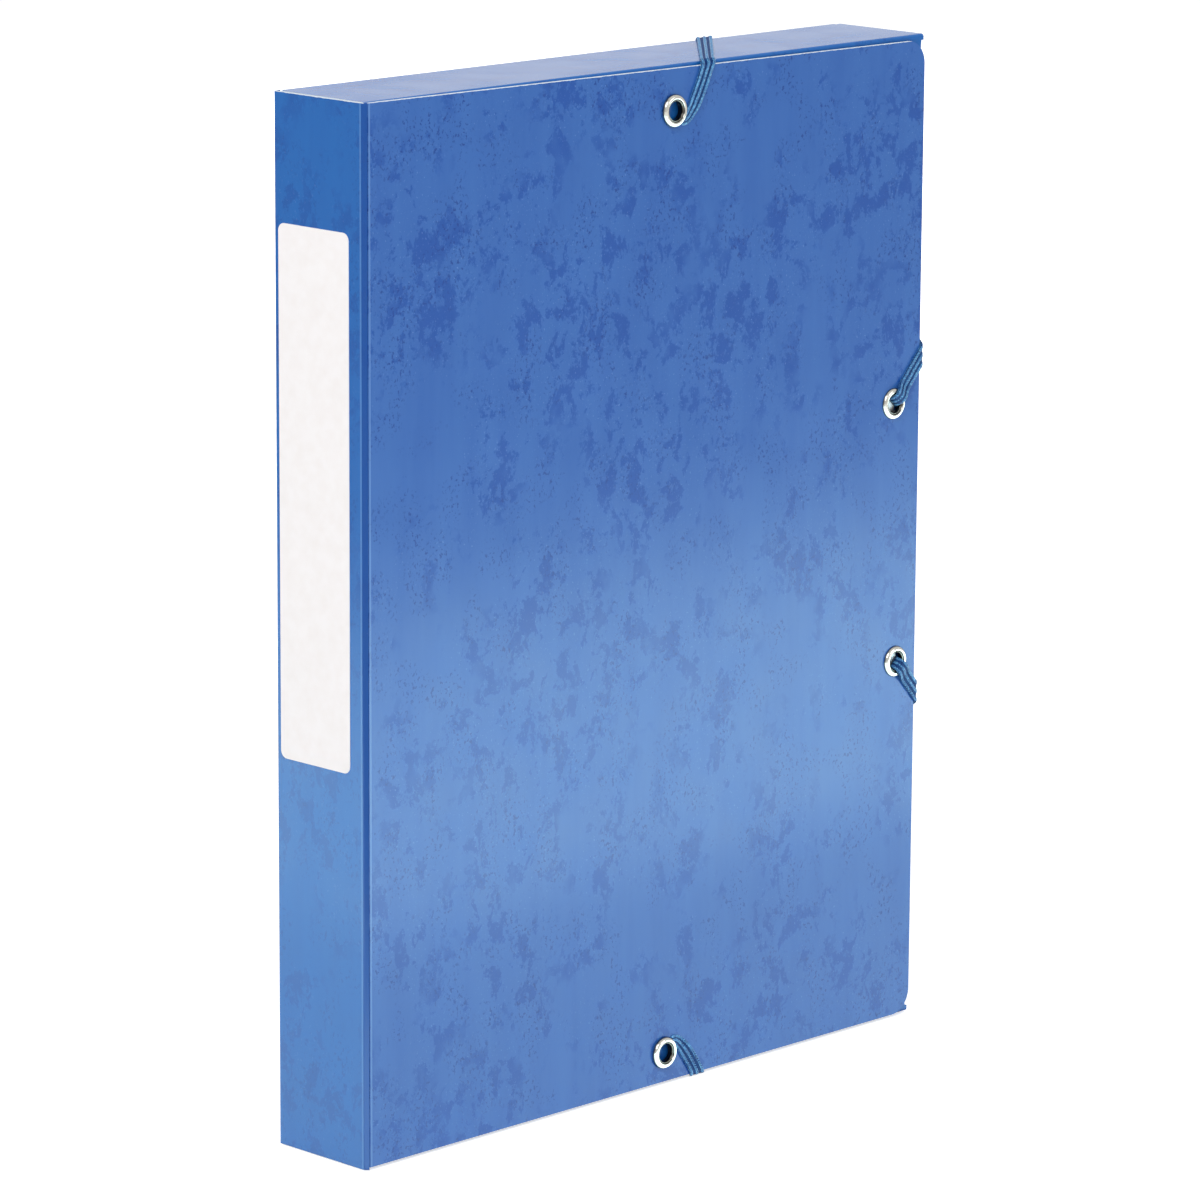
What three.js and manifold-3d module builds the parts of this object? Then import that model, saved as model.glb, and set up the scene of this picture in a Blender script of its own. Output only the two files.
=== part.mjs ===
// Card box file with a hinged lid, three inner flaps and two corner elastics.
// Millimetres. +Z up, the lid faces -Y, the spine is at -X and the fore-edge at +X.
// The file stands upright on its bottom edge. The origin is at the middle of its base.

import * as THREE from 'three';
import { mergeVertices } from 'three/addons/utils/BufferGeometryUtils.js';
import Module from 'manifold-3d';

const wasm = await Module();
wasm.setup();

// Driving sizes of the folded card
const WIDTH = 250;
const HEIGHT = 330;
const DEPTH = 40;
const CARD = 0.7;
const FOLD_RADIUS = 1;
const FOLD_STEPS = 5;
const FREE_EDGE_GAP = 0.7;
const FLAP_GAP = 0.3;
const RELIEF_RADIUS = 2.2;

// The crease between the spine and the lid is scored twice, so that it turns over a narrow facet
const CREASE = { leg: 1.2, gap: 0.3 };

// The lid lies over the flaps and stops a little short of the fore-edge wall
const LID = { inset: 0.8, cornerRadius: 8, topDrop: 1.7, bottomRise: 0.7 };

// Inner flaps: the side flap folds in first and the two end flaps lie over it, close under the lid
const END_FLAP = { reach: 78, taper: 5, cornerRadius: 10 };
const SIDE_FLAP = { reach: 112, taper: 12, cornerRadius: 16 };

// Rolled metal eyelets, set through the lid. Their places are measured from the fore-edge and from
// the file's nearer end, its top or its bottom.
const EYELET = { hole: 2.9, flange: 5.2, wall: 0.3, rise: 1.2, roll: 0.4, rollFlange: 4.6, clearance: 0.3 };
const TOP_EYELET = { fromForeEdge: 118.2, fromEnd: 14.2 };
const UPPER_EYELET = { fromForeEdge: 13.4, fromEnd: 120.3 };
const LOWER_EYELET = { fromForeEdge: 10.6, fromEnd: 122.7 };
const BOTTOM_EYELET = { fromForeEdge: 119.1, fromEnd: 10.6 };

// Flat braided elastics. Each is clamped under one eyelet, goes round the box's corner at about
// 45 degrees to its edges and ends through the hole of another eyelet.
const STRAP = { width: 5.3, thickness: 0.8, lift: 0.12, bend: 1, ribs: 5, groove: 0.14 };
const STRAP_SQUEEZED = { clampWidth: 3.4, holeWidth: 4.4, thickness: 0.3, seatGap: 0.05 };

// Where each strap crosses the lid's end edge and its fore-edge
const UPPER_CROSSING = { fromForeEdge: 103, fromEnd: 105.6 };
const LOWER_CROSSING = { fromForeEdge: 103.3, fromEnd: 110.7 };

// The strap's first stretch starts under the clamping eyelet's rim, leaves it sideways and turns
// up to the edge. The offsets across and up are from the eyelet's centre, and from mid-way.
const LEAD = { start: [3.4, -3.2], turn: [6.4, -2.7], bow: [0.3, -0.4], steps: 8, swell: [0.28, 0.6] };

// The strap's last stretch climbs over the end eyelet's domed rim and goes down through its hole.
// Each pair is a distance from the eyelet's centre and a height over the lid.
const CREST = (EYELET.flange + EYELET.hole) / 2;
const RIM_PATH = [
  [EYELET.flange + 3.4, 0],
  [EYELET.flange + 2, 0],
  [EYELET.flange + 1, EYELET.rise / 6],
  [EYELET.flange + 0.2, 0.6 * EYELET.rise],
  [CREST + 0.35, EYELET.rise + 0.1],
  [CREST - 0.95, EYELET.rise + 0.16],
  [EYELET.hole - 0.7, EYELET.rise - 0.08],
  [EYELET.hole - 1.55, 0.55 * EYELET.rise],
];
const HOLE_PATH = { away: EYELET.hole - 2.15, firstDepth: 0.3 };

// Crimped metal bars on the strap ends behind the lid
const END_BAR = { length: 12, width: 3.4, thickness: 0.7, gap: 0.1, flat: 0.03 };

// Paper label on the spine
const LABEL = { width: 31, height: 166, thickness: 0.2, cornerRadius: 2.5, fromTop: 39.7, fromBack: 2.2 };

// Levels that follow from the sizes above
const LEFT = -WIDTH / 2;
const RIGHT = WIDTH / 2;
const FRONT = -DEPTH / 2;
const BACK = DEPTH / 2;
const LID_BACK = FRONT + CARD;
const BAR_FRONT = LID_BACK + EYELET.roll + END_BAR.gap;
const BAR_BACK = BAR_FRONT + END_BAR.thickness;
const END_FLAP_FRONT = LID_BACK + EYELET.roll + FLAP_GAP;
const SIDE_FLAP_FRONT = Math.max(END_FLAP_FRONT + CARD, BAR_BACK) + FLAP_GAP;
const CLAMPED_SEAT = STRAP.lift + STRAP_SQUEEZED.thickness;
const CUT = 1;

// How finely round stretches are drawn
const CORNER_STEPS = 12;
const EYELET_STEPS = 30;
const DOME_STEPS = 8;
const BEND_STEPS = 5;

const CARD_FINISH = { color: 0x4b74b4, roughness: 0.4, metalness: 0 };
const LABEL_FINISH = { color: 0xf8f5f2, roughness: 0.6, metalness: 0 };
const NICKEL_FINISH = { color: 0xc4c6c9, roughness: 0.25, metalness: 1 };
const STEEL_FINISH = { color: 0xa9acb0, roughness: 0.4, metalness: 1 };
const ELASTIC_FINISH = { color: 0x5a96c4, roughness: 0.8, metalness: 0 };

// Joining and cutting

// Turns a closed geometry into a solid that can be joined or cut
function solidOf(geometry) {
  const bare = geometry.clone();
  bare.deleteAttribute('normal');
  bare.deleteAttribute('uv');
  const merged = mergeVertices(bare, 1e-5);
  return new wasm.Manifold(new wasm.Mesh({
    numProp: 3,
    vertProperties: new Float32Array(merged.attributes.position.array),
    triVerts: new Uint32Array(merged.index.array),
  }));
}

function geometryOf(solid) {
  const mesh = solid.getMesh();
  const geometry = new THREE.BufferGeometry();
  geometry.setAttribute('position', new THREE.BufferAttribute(new Float32Array(mesh.vertProperties), 3));
  geometry.setIndex(new THREE.BufferAttribute(new Uint32Array(mesh.triVerts), 1));
  geometry.computeVertexNormals();
  return geometry;
}

function joined(geometries) {
  return geometries.map(solidOf).reduce((whole, piece) => whole.add(piece));
}

// Outlines and sheets

// Outline of a strip of card seen on its edge. The path runs along the card's outer face, and
// every fold turns to the left, the side that the card's thickness lies on.
function stripOutline(path) {
  const outer = [];
  const inner = [];
  path.forEach((point, i) => {
    const into = i > 0 ? point.clone().sub(path[i - 1]).normalize() : null;
    const onward = i < path.length - 1 ? path[i + 1].clone().sub(point).normalize() : null;
    const along = into ?? onward;
    const left = new THREE.Vector2(-along.y, along.x);
    if (!into || !onward) {
      outer.push(point.clone());
      inner.push(point.clone().addScaledVector(left, CARD));
      return;
    }
    const turn = Math.acos(THREE.MathUtils.clamp(into.dot(onward), -1, 1));
    const setback = FOLD_RADIUS * Math.tan(turn / 2);
    const centre = point.clone().addScaledVector(into, -setback).addScaledVector(left, FOLD_RADIUS);
    const start = Math.atan2(-left.y, -left.x);
    for (let step = 0; step <= FOLD_STEPS; step += 1) {
      const angle = start + (turn * step) / FOLD_STEPS;
      const ray = new THREE.Vector2(Math.cos(angle), Math.sin(angle));
      outer.push(centre.clone().addScaledVector(ray, FOLD_RADIUS));
      inner.push(centre.clone().addScaledVector(ray, FOLD_RADIUS - CARD));
    }
  });
  return new THREE.Shape([...outer, ...inner.reverse()]);
}

const points = (...pairs) => pairs.map(([x, y]) => new THREE.Vector2(x, y));

// Outline with straight sides and its own radius at each corner, listed anticlockwise
function roundedOutline(corners) {
  const shape = new THREE.Shape();
  corners.forEach(([x, y, radius], i) => {
    const [lastX, lastY] = corners[(i + corners.length - 1) % corners.length];
    const [nextX, nextY] = corners[(i + 1) % corners.length];
    const here = new THREE.Vector2(x, y);
    const toLast = new THREE.Vector2(lastX, lastY).sub(here).normalize();
    const toNext = new THREE.Vector2(nextX, nextY).sub(here).normalize();
    const half = Math.acos(toLast.dot(toNext)) / 2;
    const start = here.clone().addScaledVector(toLast, radius / Math.tan(half));
    if (i === 0) {
      shape.moveTo(start.x, start.y);
    } else {
      shape.lineTo(start.x, start.y);
    }
    if (radius > 0) {
      const end = here.clone().addScaledVector(toNext, radius / Math.tan(half));
      const middle = toLast.clone().add(toNext).normalize();
      const centre = here.clone().addScaledVector(middle, radius / Math.sin(half));
      const from = Math.atan2(start.y - centre.y, start.x - centre.x);
      const to = Math.atan2(end.y - centre.y, end.x - centre.x);
      shape.absarc(centre.x, centre.y, radius, from, to, false);
    }
  });
  shape.closePath();
  return shape;
}

const extruded = (shape, depth) =>
  new THREE.ExtrudeGeometry(shape, { depth, bevelEnabled: false, curveSegments: CORNER_STEPS });

// A shape drawn in (x, y), raised from one height to another
const standing = (shape, bottom, top) => extruded(shape, top - bottom).translate(0, 0, bottom);

// A shape drawn in (y, z), drawn out along x
function lengthwise(shape, left, right) {
  const turn = new THREE.Matrix4().set(0, 0, 1, left, 1, 0, 0, 0, 0, 1, 0, 0, 0, 0, 0, 1);
  return extruded(shape, right - left).applyMatrix4(turn);
}

// A shape drawn in (x, z), made into a sheet between two depths
function upright(shape, front, back) {
  const turn = new THREE.Matrix4().set(1, 0, 0, 0, 0, 0, -1, back, 0, 1, 0, 0, 0, 0, 0, 1);
  return extruded(shape, back - front).applyMatrix4(turn);
}

// Places on the lid that are measured from the fore-edge and from the top or the bottom
const nearTop = ({ fromForeEdge, fromEnd }) => ({ x: RIGHT - fromForeEdge, z: HEIGHT - fromEnd });
const nearBottom = ({ fromForeEdge, fromEnd }) => ({ x: RIGHT - fromForeEdge, z: fromEnd });

function block(low, high) {
  const size = new THREE.Vector3(...high).sub(new THREE.Vector3(...low));
  const middle = new THREE.Vector3(...low).addScaledVector(size, 0.5);
  return new THREE.BoxGeometry(size.x, size.y, size.z).translate(middle.x, middle.y, middle.z);
}

// Folded body

// The back panel's fold, the spine and the scored facet at its front edge
function spineStrip() {
  const facetEnd = LEFT + CREASE.leg;
  const foldEnd = LEFT + FREE_EDGE_GAP + CARD + FOLD_RADIUS;
  const path = points(
    [foldEnd, BACK],
    [LEFT, BACK],
    [LEFT, FRONT + CREASE.leg],
    [facetEnd + CARD, FRONT - CARD],
  );
  const strip = solidOf(standing(stripOutline(path), 0, HEIGHT));
  const beyond = block(
    [facetEnd, FRONT - CARD - CUT, -CUT],
    [facetEnd + 2 * CARD, FRONT + 4 * CARD, HEIGHT + CUT],
  );
  return strip.subtract(solidOf(beyond));
}

// The bottom wall, the back panel and the top wall, with the folds of the two end flaps
function endStrip() {
  const root = 2 * FOLD_RADIUS;
  const path = points(
    [END_FLAP_FRONT, root],
    [END_FLAP_FRONT, 0],
    [BACK, 0],
    [BACK, HEIGHT],
    [END_FLAP_FRONT, HEIGHT],
    [END_FLAP_FRONT, HEIGHT - root],
  );
  const strip = solidOf(lengthwise(stripOutline(path), LEFT + CARD + FREE_EDGE_GAP, RIGHT));
  const bottom = CARD + FREE_EDGE_GAP;
  const foldRoom = block(
    [RIGHT - FOLD_RADIUS, BACK - 2 * CARD, bottom],
    [RIGHT + CUT, BACK + CUT, HEIGHT - bottom],
  );
  return strip.subtract(solidOf(foldRoom));
}

// The fore-edge wall with its two folds, shorter than the file by the walls above and below it
function foreEdgeStrip() {
  const root = RIGHT - 2 * FOLD_RADIUS;
  const path = points([root, SIDE_FLAP_FRONT], [RIGHT, SIDE_FLAP_FRONT], [RIGHT, BACK], [root, BACK]);
  return standing(stripOutline(path), CARD + FREE_EDGE_GAP, HEIGHT - CARD - FREE_EDGE_GAP);
}

// A flap on the top or bottom wall, which narrows towards its free edge
function endFlap(foldZ, inward) {
  const left = LEFT + CARD + FREE_EDGE_GAP;
  const right = RIGHT - FOLD_RADIUS;
  const root = foldZ + inward * 1.5 * FOLD_RADIUS;
  const tip = foldZ + inward * END_FLAP.reach;
  const corners = [
    [left, root, 0],
    [right, root, 0],
    [right - END_FLAP.taper, tip, END_FLAP.cornerRadius],
    [left + END_FLAP.taper, tip, END_FLAP.cornerRadius],
  ];
  const outline = roundedOutline(inward > 0 ? corners : corners.reverse());
  return upright(outline, END_FLAP_FRONT, END_FLAP_FRONT + CARD);
}

// The flap on the fore-edge wall, which lies under the two end flaps
function sideFlap() {
  const bottom = CARD + FREE_EDGE_GAP;
  const top = HEIGHT - bottom;
  const root = RIGHT - 1.5 * FOLD_RADIUS;
  const tip = RIGHT - SIDE_FLAP.reach;
  const outline = roundedOutline([
    [tip, bottom + SIDE_FLAP.taper, SIDE_FLAP.cornerRadius],
    [root, bottom, 0],
    [root, top, 0],
    [tip, top - SIDE_FLAP.taper, SIDE_FLAP.cornerRadius],
  ]);
  return upright(outline, SIDE_FLAP_FRONT, SIDE_FLAP_FRONT + CARD);
}

// A round relief at a corner of the back panel, where two folds meet
function cornerRelief(x, z) {
  const length = 3 * FOLD_RADIUS;
  const cutter = new THREE.CylinderGeometry(RELIEF_RADIUS, RELIEF_RADIUS, length, 2 * CORNER_STEPS);
  return solidOf(cutter.translate(x, BACK - FOLD_RADIUS / 2, z));
}

// The spine keeps its full corners, so the reliefs are cut before it joins the other panels
function folderBody() {
  const panels = [foreEdgeStrip(), endFlap(0, 1), endFlap(HEIGHT, -1), sideFlap()];
  let body = joined(panels).add(endStrip());
  for (const x of [LEFT + CARD + FREE_EDGE_GAP, RIGHT]) {
    for (const z of [0, HEIGHT]) {
      body = body.subtract(cornerRelief(x, z));
    }
  }
  return geometryOf(body.add(spineStrip()));
}

// Lid and fittings

// A flat panel from the crease to the fore-edge, with round corners there and four eyelet holes
function lidPanel() {
  const left = LEFT + CREASE.leg + CREASE.gap;
  const right = RIGHT - LID.inset;
  const shape = roundedOutline([
    [left, LID.bottomRise, 0],
    [right, LID.bottomRise, LID.cornerRadius],
    [right, HEIGHT - LID.topDrop, LID.cornerRadius],
    [left, HEIGHT, 0],
  ]);
  const places = [TOP_EYELET, UPPER_EYELET].map(nearTop);
  places.push(...[LOWER_EYELET, BOTTOM_EYELET].map(nearBottom));
  for (const place of places) {
    const hole = new THREE.Path();
    hole.absarc(place.x, place.z, EYELET.hole + EYELET.wall + EYELET.clearance, 0, 2 * Math.PI, true);
    shape.holes.push(hole);
  }
  return upright(shape, FRONT, LID_BACK);
}

// Half an ellipse from one radius to another about the height at which it starts
function halfRound(fromRadius, toRadius, height, rise) {
  const curve = new THREE.EllipseCurve(
    (fromRadius + toRadius) / 2,
    height,
    Math.abs(fromRadius - toRadius) / 2,
    Math.abs(rise),
    rise > 0 ? 0 : Math.PI,
    rise > 0 ? Math.PI : 2 * Math.PI,
  );
  return curve.getPoints(DOME_STEPS);
}

// A turned ring: a domed flange outside, a barrel through the lid and a rolled flange inside
function eyelet({ x, z }, seat) {
  const barrel = EYELET.hole + EYELET.wall;
  const rolled = halfRound(EYELET.hole, EYELET.rollFlange, -CARD, -EYELET.roll);
  const dome = halfRound(EYELET.flange, EYELET.hole, seat, EYELET.rise);
  const profile = [...rolled, ...points([barrel, -CARD], [barrel, seat]), ...dome, rolled[0].clone()];
  const outward = new THREE.Matrix4().makeScale(1, -1, -1).setPosition(x, FRONT, z);
  return new THREE.LatheGeometry(profile, EYELET_STEPS).applyMatrix4(outward);
}

// A small bar with round ends, crimped on a strap's end behind its eyelet
function endBar({ x, z }) {
  const half = END_BAR.width / 2;
  const reach = END_BAR.length / 2;
  const corner = half - END_BAR.flat;
  const outline = roundedOutline([
    [x - half, z - reach, corner],
    [x + half, z - reach, corner],
    [x + half, z + reach, corner],
    [x - half, z + reach, corner],
  ]);
  return upright(outline, BAR_FRONT, BAR_FRONT + END_BAR.thickness);
}

function spineLabel() {
  const right = BACK - LABEL.fromBack;
  const top = HEIGHT - LABEL.fromTop;
  const outline = roundedOutline([
    [right - LABEL.width, top - LABEL.height, LABEL.cornerRadius],
    [right, top - LABEL.height, LABEL.cornerRadius],
    [right, top, LABEL.cornerRadius],
    [right - LABEL.width, top, LABEL.cornerRadius],
  ]);
  return lengthwise(outline, LEFT - LABEL.thickness, LEFT);
}

// Elastics

// A way round two folded edges: up one face, over the edge, across the depth, over the next edge
// and down the far face. Gives the place (along, deep) and the outward direction at a distance.
function overEdges(distance, length) {
  const { bend } = STRAP;
  const arc = (Math.PI / 2) * bend;
  const first = length - bend;
  const second = first + arc + DEPTH - 2 * bend;
  if (distance < first) {
    return { along: distance, deep: 0, outAlong: 0, outDeep: -1 };
  }
  if (distance < first + arc) {
    const angle = (distance - first) / bend;
    const outAlong = Math.sin(angle);
    const outDeep = -Math.cos(angle);
    return { along: first + bend * outAlong, deep: bend + bend * outDeep, outAlong, outDeep };
  }
  if (distance < second) {
    return { along: length, deep: bend + distance - first - arc, outAlong: 1, outDeep: 0 };
  }
  if (distance < second + arc) {
    const angle = (distance - second) / bend;
    const outAlong = Math.cos(angle);
    const outDeep = Math.sin(angle);
    return { along: first + bend * outAlong, deep: DEPTH - bend + bend * outDeep, outAlong, outDeep };
  }
  return { along: first - (distance - second - arc), deep: DEPTH, outAlong: 0, outDeep: 1 };
}

// Distances at which such a way meets its two edges
function edgesOf(length) {
  const arc = (Math.PI / 2) * STRAP.bend;
  const first = length - STRAP.bend;
  const second = first + arc + DEPTH - 2 * STRAP.bend;
  return { first, firstEnd: first + arc, second, secondEnd: second + arc };
}

// Folds a point of the flat strap round the box. It goes over the end wall along its height s,
// then over the fore-edge wall along its distance across.
function foldedPoint({ across, up, out }, upper) {
  const { secondEnd } = edgesOf(HEIGHT);
  const overEnd = overEdges(up, HEIGHT);
  const height = (h) => (upper ? h : HEIGHT - h);
  if (up <= secondEnd) {
    return new THREE.Vector3(
      across,
      FRONT + overEnd.deep + overEnd.outDeep * out,
      height(overEnd.along + overEnd.outAlong * out),
    );
  }
  const overSide = overEdges(across - LEFT, WIDTH);
  return new THREE.Vector3(
    LEFT + overSide.along + overSide.outAlong * out,
    BACK - overSide.deep - overSide.outDeep * out,
    height(overEnd.along),
  );
}

// The strap's middle line in its flat state, from the clamping eyelet to the end eyelet
function flatRoute(clampEyelet, endEyelet, crossing) {
  const end = edgesOf(HEIGHT);
  const side = edgesOf(WIDTH);
  const endMiddle = (end.first + end.firstEnd) / 2;
  const backMiddle = (end.second + end.secondEnd) / 2;
  const sideFirst = LEFT + (side.first + side.firstEnd) / 2;
  const sideSecond = LEFT + (side.second + side.secondEnd) / 2;
  const foreEdgeUp = end.secondEnd + crossing.fromEnd - STRAP.bend;
  const at = (across, up) => new THREE.Vector2(across, up);
  const edge = at(RIGHT - crossing.fromForeEdge, endMiddle);
  const clamp = at(RIGHT - clampEyelet.fromForeEdge, HEIGHT - clampEyelet.fromEnd);
  const start = clamp.clone().add(at(...LEAD.start));
  const turn = clamp.clone().add(at(...LEAD.turn));
  const middle = turn.clone().lerp(edge, 0.5).add(at(...LEAD.bow));
  const last = at(
    LEFT + side.secondEnd + endEyelet.fromForeEdge - STRAP.bend,
    end.secondEnd + endEyelet.fromEnd - STRAP.bend,
  );
  return {
    lead: new THREE.SplineCurve([start, turn, middle, edge]),
    edge,
    far: at(edge.x + DEPTH, backMiddle),
    sideFar: at(sideFirst, foreEdgeUp - DEPTH),
    sideNear: at(sideSecond, foreEdgeUp),
    last,
  };
}

// One section across the strap: its middle, the direction across it, and its two levels
function section(middle, acrossDirection, travel, low, high, width = STRAP.width) {
  const slant = Math.abs(travel.x * acrossDirection.y - travel.y * acrossDirection.x);
  return { middle, reach: acrossDirection.clone().multiplyScalar(width / 2 / slant), low, high };
}

// The sections over one folded edge lie along that edge, so that the strap turns with it
function foldSections(from, here, to, fold, low, high) {
  const before = here.clone().sub(from).normalize();
  const after = to.clone().sub(here).normalize();
  const travel = before.clone().add(after).normalize();
  const alongX = fold.direction.y !== 0;
  const position = alongX ? here.x : here.y;
  const list = [];
  for (let step = 0; step <= BEND_STEPS; step += 1) {
    const distance = fold.start + ((fold.end - fold.start) * step) / BEND_STEPS;
    const way = distance < position ? before : after;
    const middle = here.clone().addScaledVector(way, (distance - position) / (alongX ? way.x : way.y));
    list.push(section(middle, fold.direction, travel, low, high));
  }
  return list;
}

// The sections over the end eyelet's rim and down through its hole, each square to the strap's way
function rimSections(route) {
  const travel = route.last.clone().sub(route.sideNear).normalize();
  const acrossDirection = new THREE.Vector2(travel.y, -travel.x);
  const half = STRAP.thickness / 2;
  const through = CARD + EYELET.roll;
  const depths = [HOLE_PATH.firstDepth, through / 2, through];
  const path = [
    ...RIM_PATH.map(([away, rise]) => [away, rise + half]),
    ...depths.map((depth) => [HOLE_PATH.away, -depth]),
  ];
  return path.map(([away, rise], i) => {
    const [lastAway, lastRise] = path[Math.max(i - 1, 0)];
    const [nextAway, nextRise] = path[Math.min(i + 1, path.length - 1)];
    const along = new THREE.Vector2(lastAway - nextAway, nextRise - lastRise).normalize();
    const share = THREE.MathUtils.clamp((EYELET.flange - away) / EYELET.hole, 0, 1);
    const width = THREE.MathUtils.lerp(STRAP.width, STRAP_SQUEEZED.holeWidth, share);
    return {
      middle: route.last.clone().addScaledVector(travel, -away),
      reach: acrossDirection.clone().multiplyScalar(width / 2),
      tilt: travel.clone().multiplyScalar(-along.y),
      rise: STRAP.lift + rise,
      lean: along.x,
    };
  });
}

// All the sections of a strap, from its clamped end to its end in the hole
function strapSections(route, squeezedAtEdge) {
  const end = edgesOf(HEIGHT);
  const side = edgesOf(WIDTH);
  const acrossEnd = new THREE.Vector2(1, 0);
  const acrossSide = new THREE.Vector2(0, -1);
  const low = STRAP.lift;
  const high = low + STRAP.thickness;
  const wallHigh = squeezedAtEdge ? low + STRAP_SQUEEZED.thickness : high;
  const list = [];
  for (let step = 0; step < LEAD.steps; step += 1) {
    const share = step / LEAD.steps;
    const travel = route.lead.getTangent(share);
    const square = new THREE.Vector2(travel.y, -travel.x);
    const direction = square.lerp(acrossEnd, share ** 2).normalize();
    const swell = THREE.MathUtils.smoothstep(share, ...LEAD.swell);
    const top = THREE.MathUtils.lerp(CLAMPED_SEAT - STRAP_SQUEEZED.seatGap, high, swell);
    const width = THREE.MathUtils.lerp(STRAP_SQUEEZED.clampWidth, STRAP.width, swell);
    list.push(section(route.lead.getPoint(share), direction, travel, low * share, top, width));
  }
  const firstFold = { start: end.first, end: end.firstEnd, direction: acrossEnd };
  const secondFold = { start: end.second, end: end.secondEnd, direction: acrossEnd };
  const thirdFold = { start: LEFT + side.first, end: LEFT + side.firstEnd, direction: acrossSide };
  const fourthFold = { start: LEFT + side.second, end: LEFT + side.secondEnd, direction: acrossSide };
  const beforeEdge = route.lead.getPoint(1 - 1 / LEAD.steps);
  list.push(...foldSections(beforeEdge, route.edge, route.far, firstFold, low, wallHigh));
  list.push(...foldSections(route.edge, route.far, route.sideFar, secondFold, low, wallHigh));
  const travel = route.sideFar.clone().sub(route.far).normalize();
  for (const share of [0.25, 0.5, 0.75]) {
    const square = new THREE.Vector2(travel.y, -travel.x);
    const direction = acrossEnd.clone().lerp(acrossSide, share).normalize();
    const settled = direction.lerp(square, 0.5).normalize();
    list.push(section(route.far.clone().lerp(route.sideFar, share), settled, travel, low, high));
  }
  list.push(...foldSections(route.far, route.sideFar, route.sideNear, thirdFold, low, high));
  list.push(...foldSections(route.sideFar, route.sideNear, route.last, fourthFold, low, high));
  list.push(...rimSections(route));
  return list;
}

// The corners of one section: the plain side against the box, then the ribbed side back
function sectionPoints({ middle, reach, low, high, tilt, rise, lean }, upper) {
  const list = [];
  const ribPoints = 2 * STRAP.ribs;
  const corner = (share, level) => {
    const flat = middle.clone().addScaledVector(reach, share);
    if (tilt === undefined) {
      list.push(foldedPoint({ across: flat.x, up: flat.y, out: level }, upper));
      return;
    }
    flat.addScaledVector(tilt, level);
    list.push(foldedPoint({ across: flat.x, up: flat.y, out: rise + lean * level }, upper));
  };
  const half = STRAP.thickness / 2;
  const bottom = tilt === undefined ? low : -half;
  const top = tilt === undefined ? high : half;
  corner(-1, bottom);
  corner(1, bottom);
  for (let i = ribPoints; i >= 0; i -= 1) {
    const share = (2 * i) / ribPoints - 1;
    corner(share, i % 2 === 0 ? top - STRAP.groove : top);
  }
  return list;
}

// A closed skin over a row of sections, with its faces pointing out
function skinned(rows) {
  const count = rows[0].length;
  const positions = rows.flat().flatMap((point) => [point.x, point.y, point.z]);
  const index = [];
  for (let row = 0; row < rows.length - 1; row += 1) {
    for (let i = 0; i < count; i += 1) {
      const a = row * count + i;
      const b = row * count + ((i + 1) % count);
      index.push(a, b, a + count, b, b + count, a + count);
    }
  }
  const last = (rows.length - 1) * count;
  for (let i = 1; i < count - 1; i += 1) {
    index.push(0, i + 1, i);
    index.push(last, last + i, last + i + 1);
  }
  const geometry = new THREE.BufferGeometry();
  geometry.setAttribute('position', new THREE.Float32BufferAttribute(positions, 3));
  geometry.setIndex(index);
  return geometry;
}

function elastic(clampEyelet, endEyelet, crossing, upper) {
  const route = flatRoute(clampEyelet, endEyelet, crossing);
  const rows = strapSections(route, !upper).map((row) => sectionPoints(row, upper));
  const geometry = skinned(upper ? rows.reverse() : rows);
  geometry.computeVertexNormals();
  return geometry;
}

// Assembly

const file = new THREE.Group();

function addPiece(name, geometry, finish) {
  const mesh = new THREE.Mesh(geometry, new THREE.MeshStandardMaterial(finish));
  mesh.name = name;
  file.add(mesh);
}

addPiece('folder_body', folderBody(), CARD_FINISH);
addPiece('lid', lidPanel(), CARD_FINISH);
addPiece('spine_label', spineLabel(), LABEL_FINISH);
addPiece('top_eyelet', eyelet(nearTop(TOP_EYELET), CLAMPED_SEAT), NICKEL_FINISH);
addPiece('upper_side_eyelet', eyelet(nearTop(UPPER_EYELET), 0), NICKEL_FINISH);
addPiece('lower_side_eyelet', eyelet(nearBottom(LOWER_EYELET), 0), NICKEL_FINISH);
addPiece('bottom_eyelet', eyelet(nearBottom(BOTTOM_EYELET), CLAMPED_SEAT), NICKEL_FINISH);
addPiece('upper_end_bar', endBar(nearTop(UPPER_EYELET)), STEEL_FINISH);
addPiece('lower_end_bar', endBar(nearBottom(LOWER_EYELET)), STEEL_FINISH);
addPiece('upper_elastic', elastic(TOP_EYELET, UPPER_EYELET, UPPER_CROSSING, true), ELASTIC_FINISH);
addPiece('lower_elastic', elastic(BOTTOM_EYELET, LOWER_EYELET, LOWER_CROSSING, false), ELASTIC_FINISH);

const bounds = new THREE.Box3().setFromObject(file);
const middle = bounds.getCenter(new THREE.Vector3());
file.position.set(-middle.x, -middle.y, -bounds.min.z);

export default file;
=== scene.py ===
"""Looks of an upright card box file: mottled blue card, nickel eyelets, two braided corner elastics
and a blank paper label, in a plain white studio."""

import logging
import math
from abc import ABC, abstractmethod
from dataclasses import dataclass
from enum import Enum
from itertools import product

import bmesh
import bpy
from bpy.types import Material, Mesh, NodeOutputs, Object
from bpy.types import NodeSocket as Socket
from bpy.types import NodeTree as Tree
from mathutils import Matrix, Vector

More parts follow.
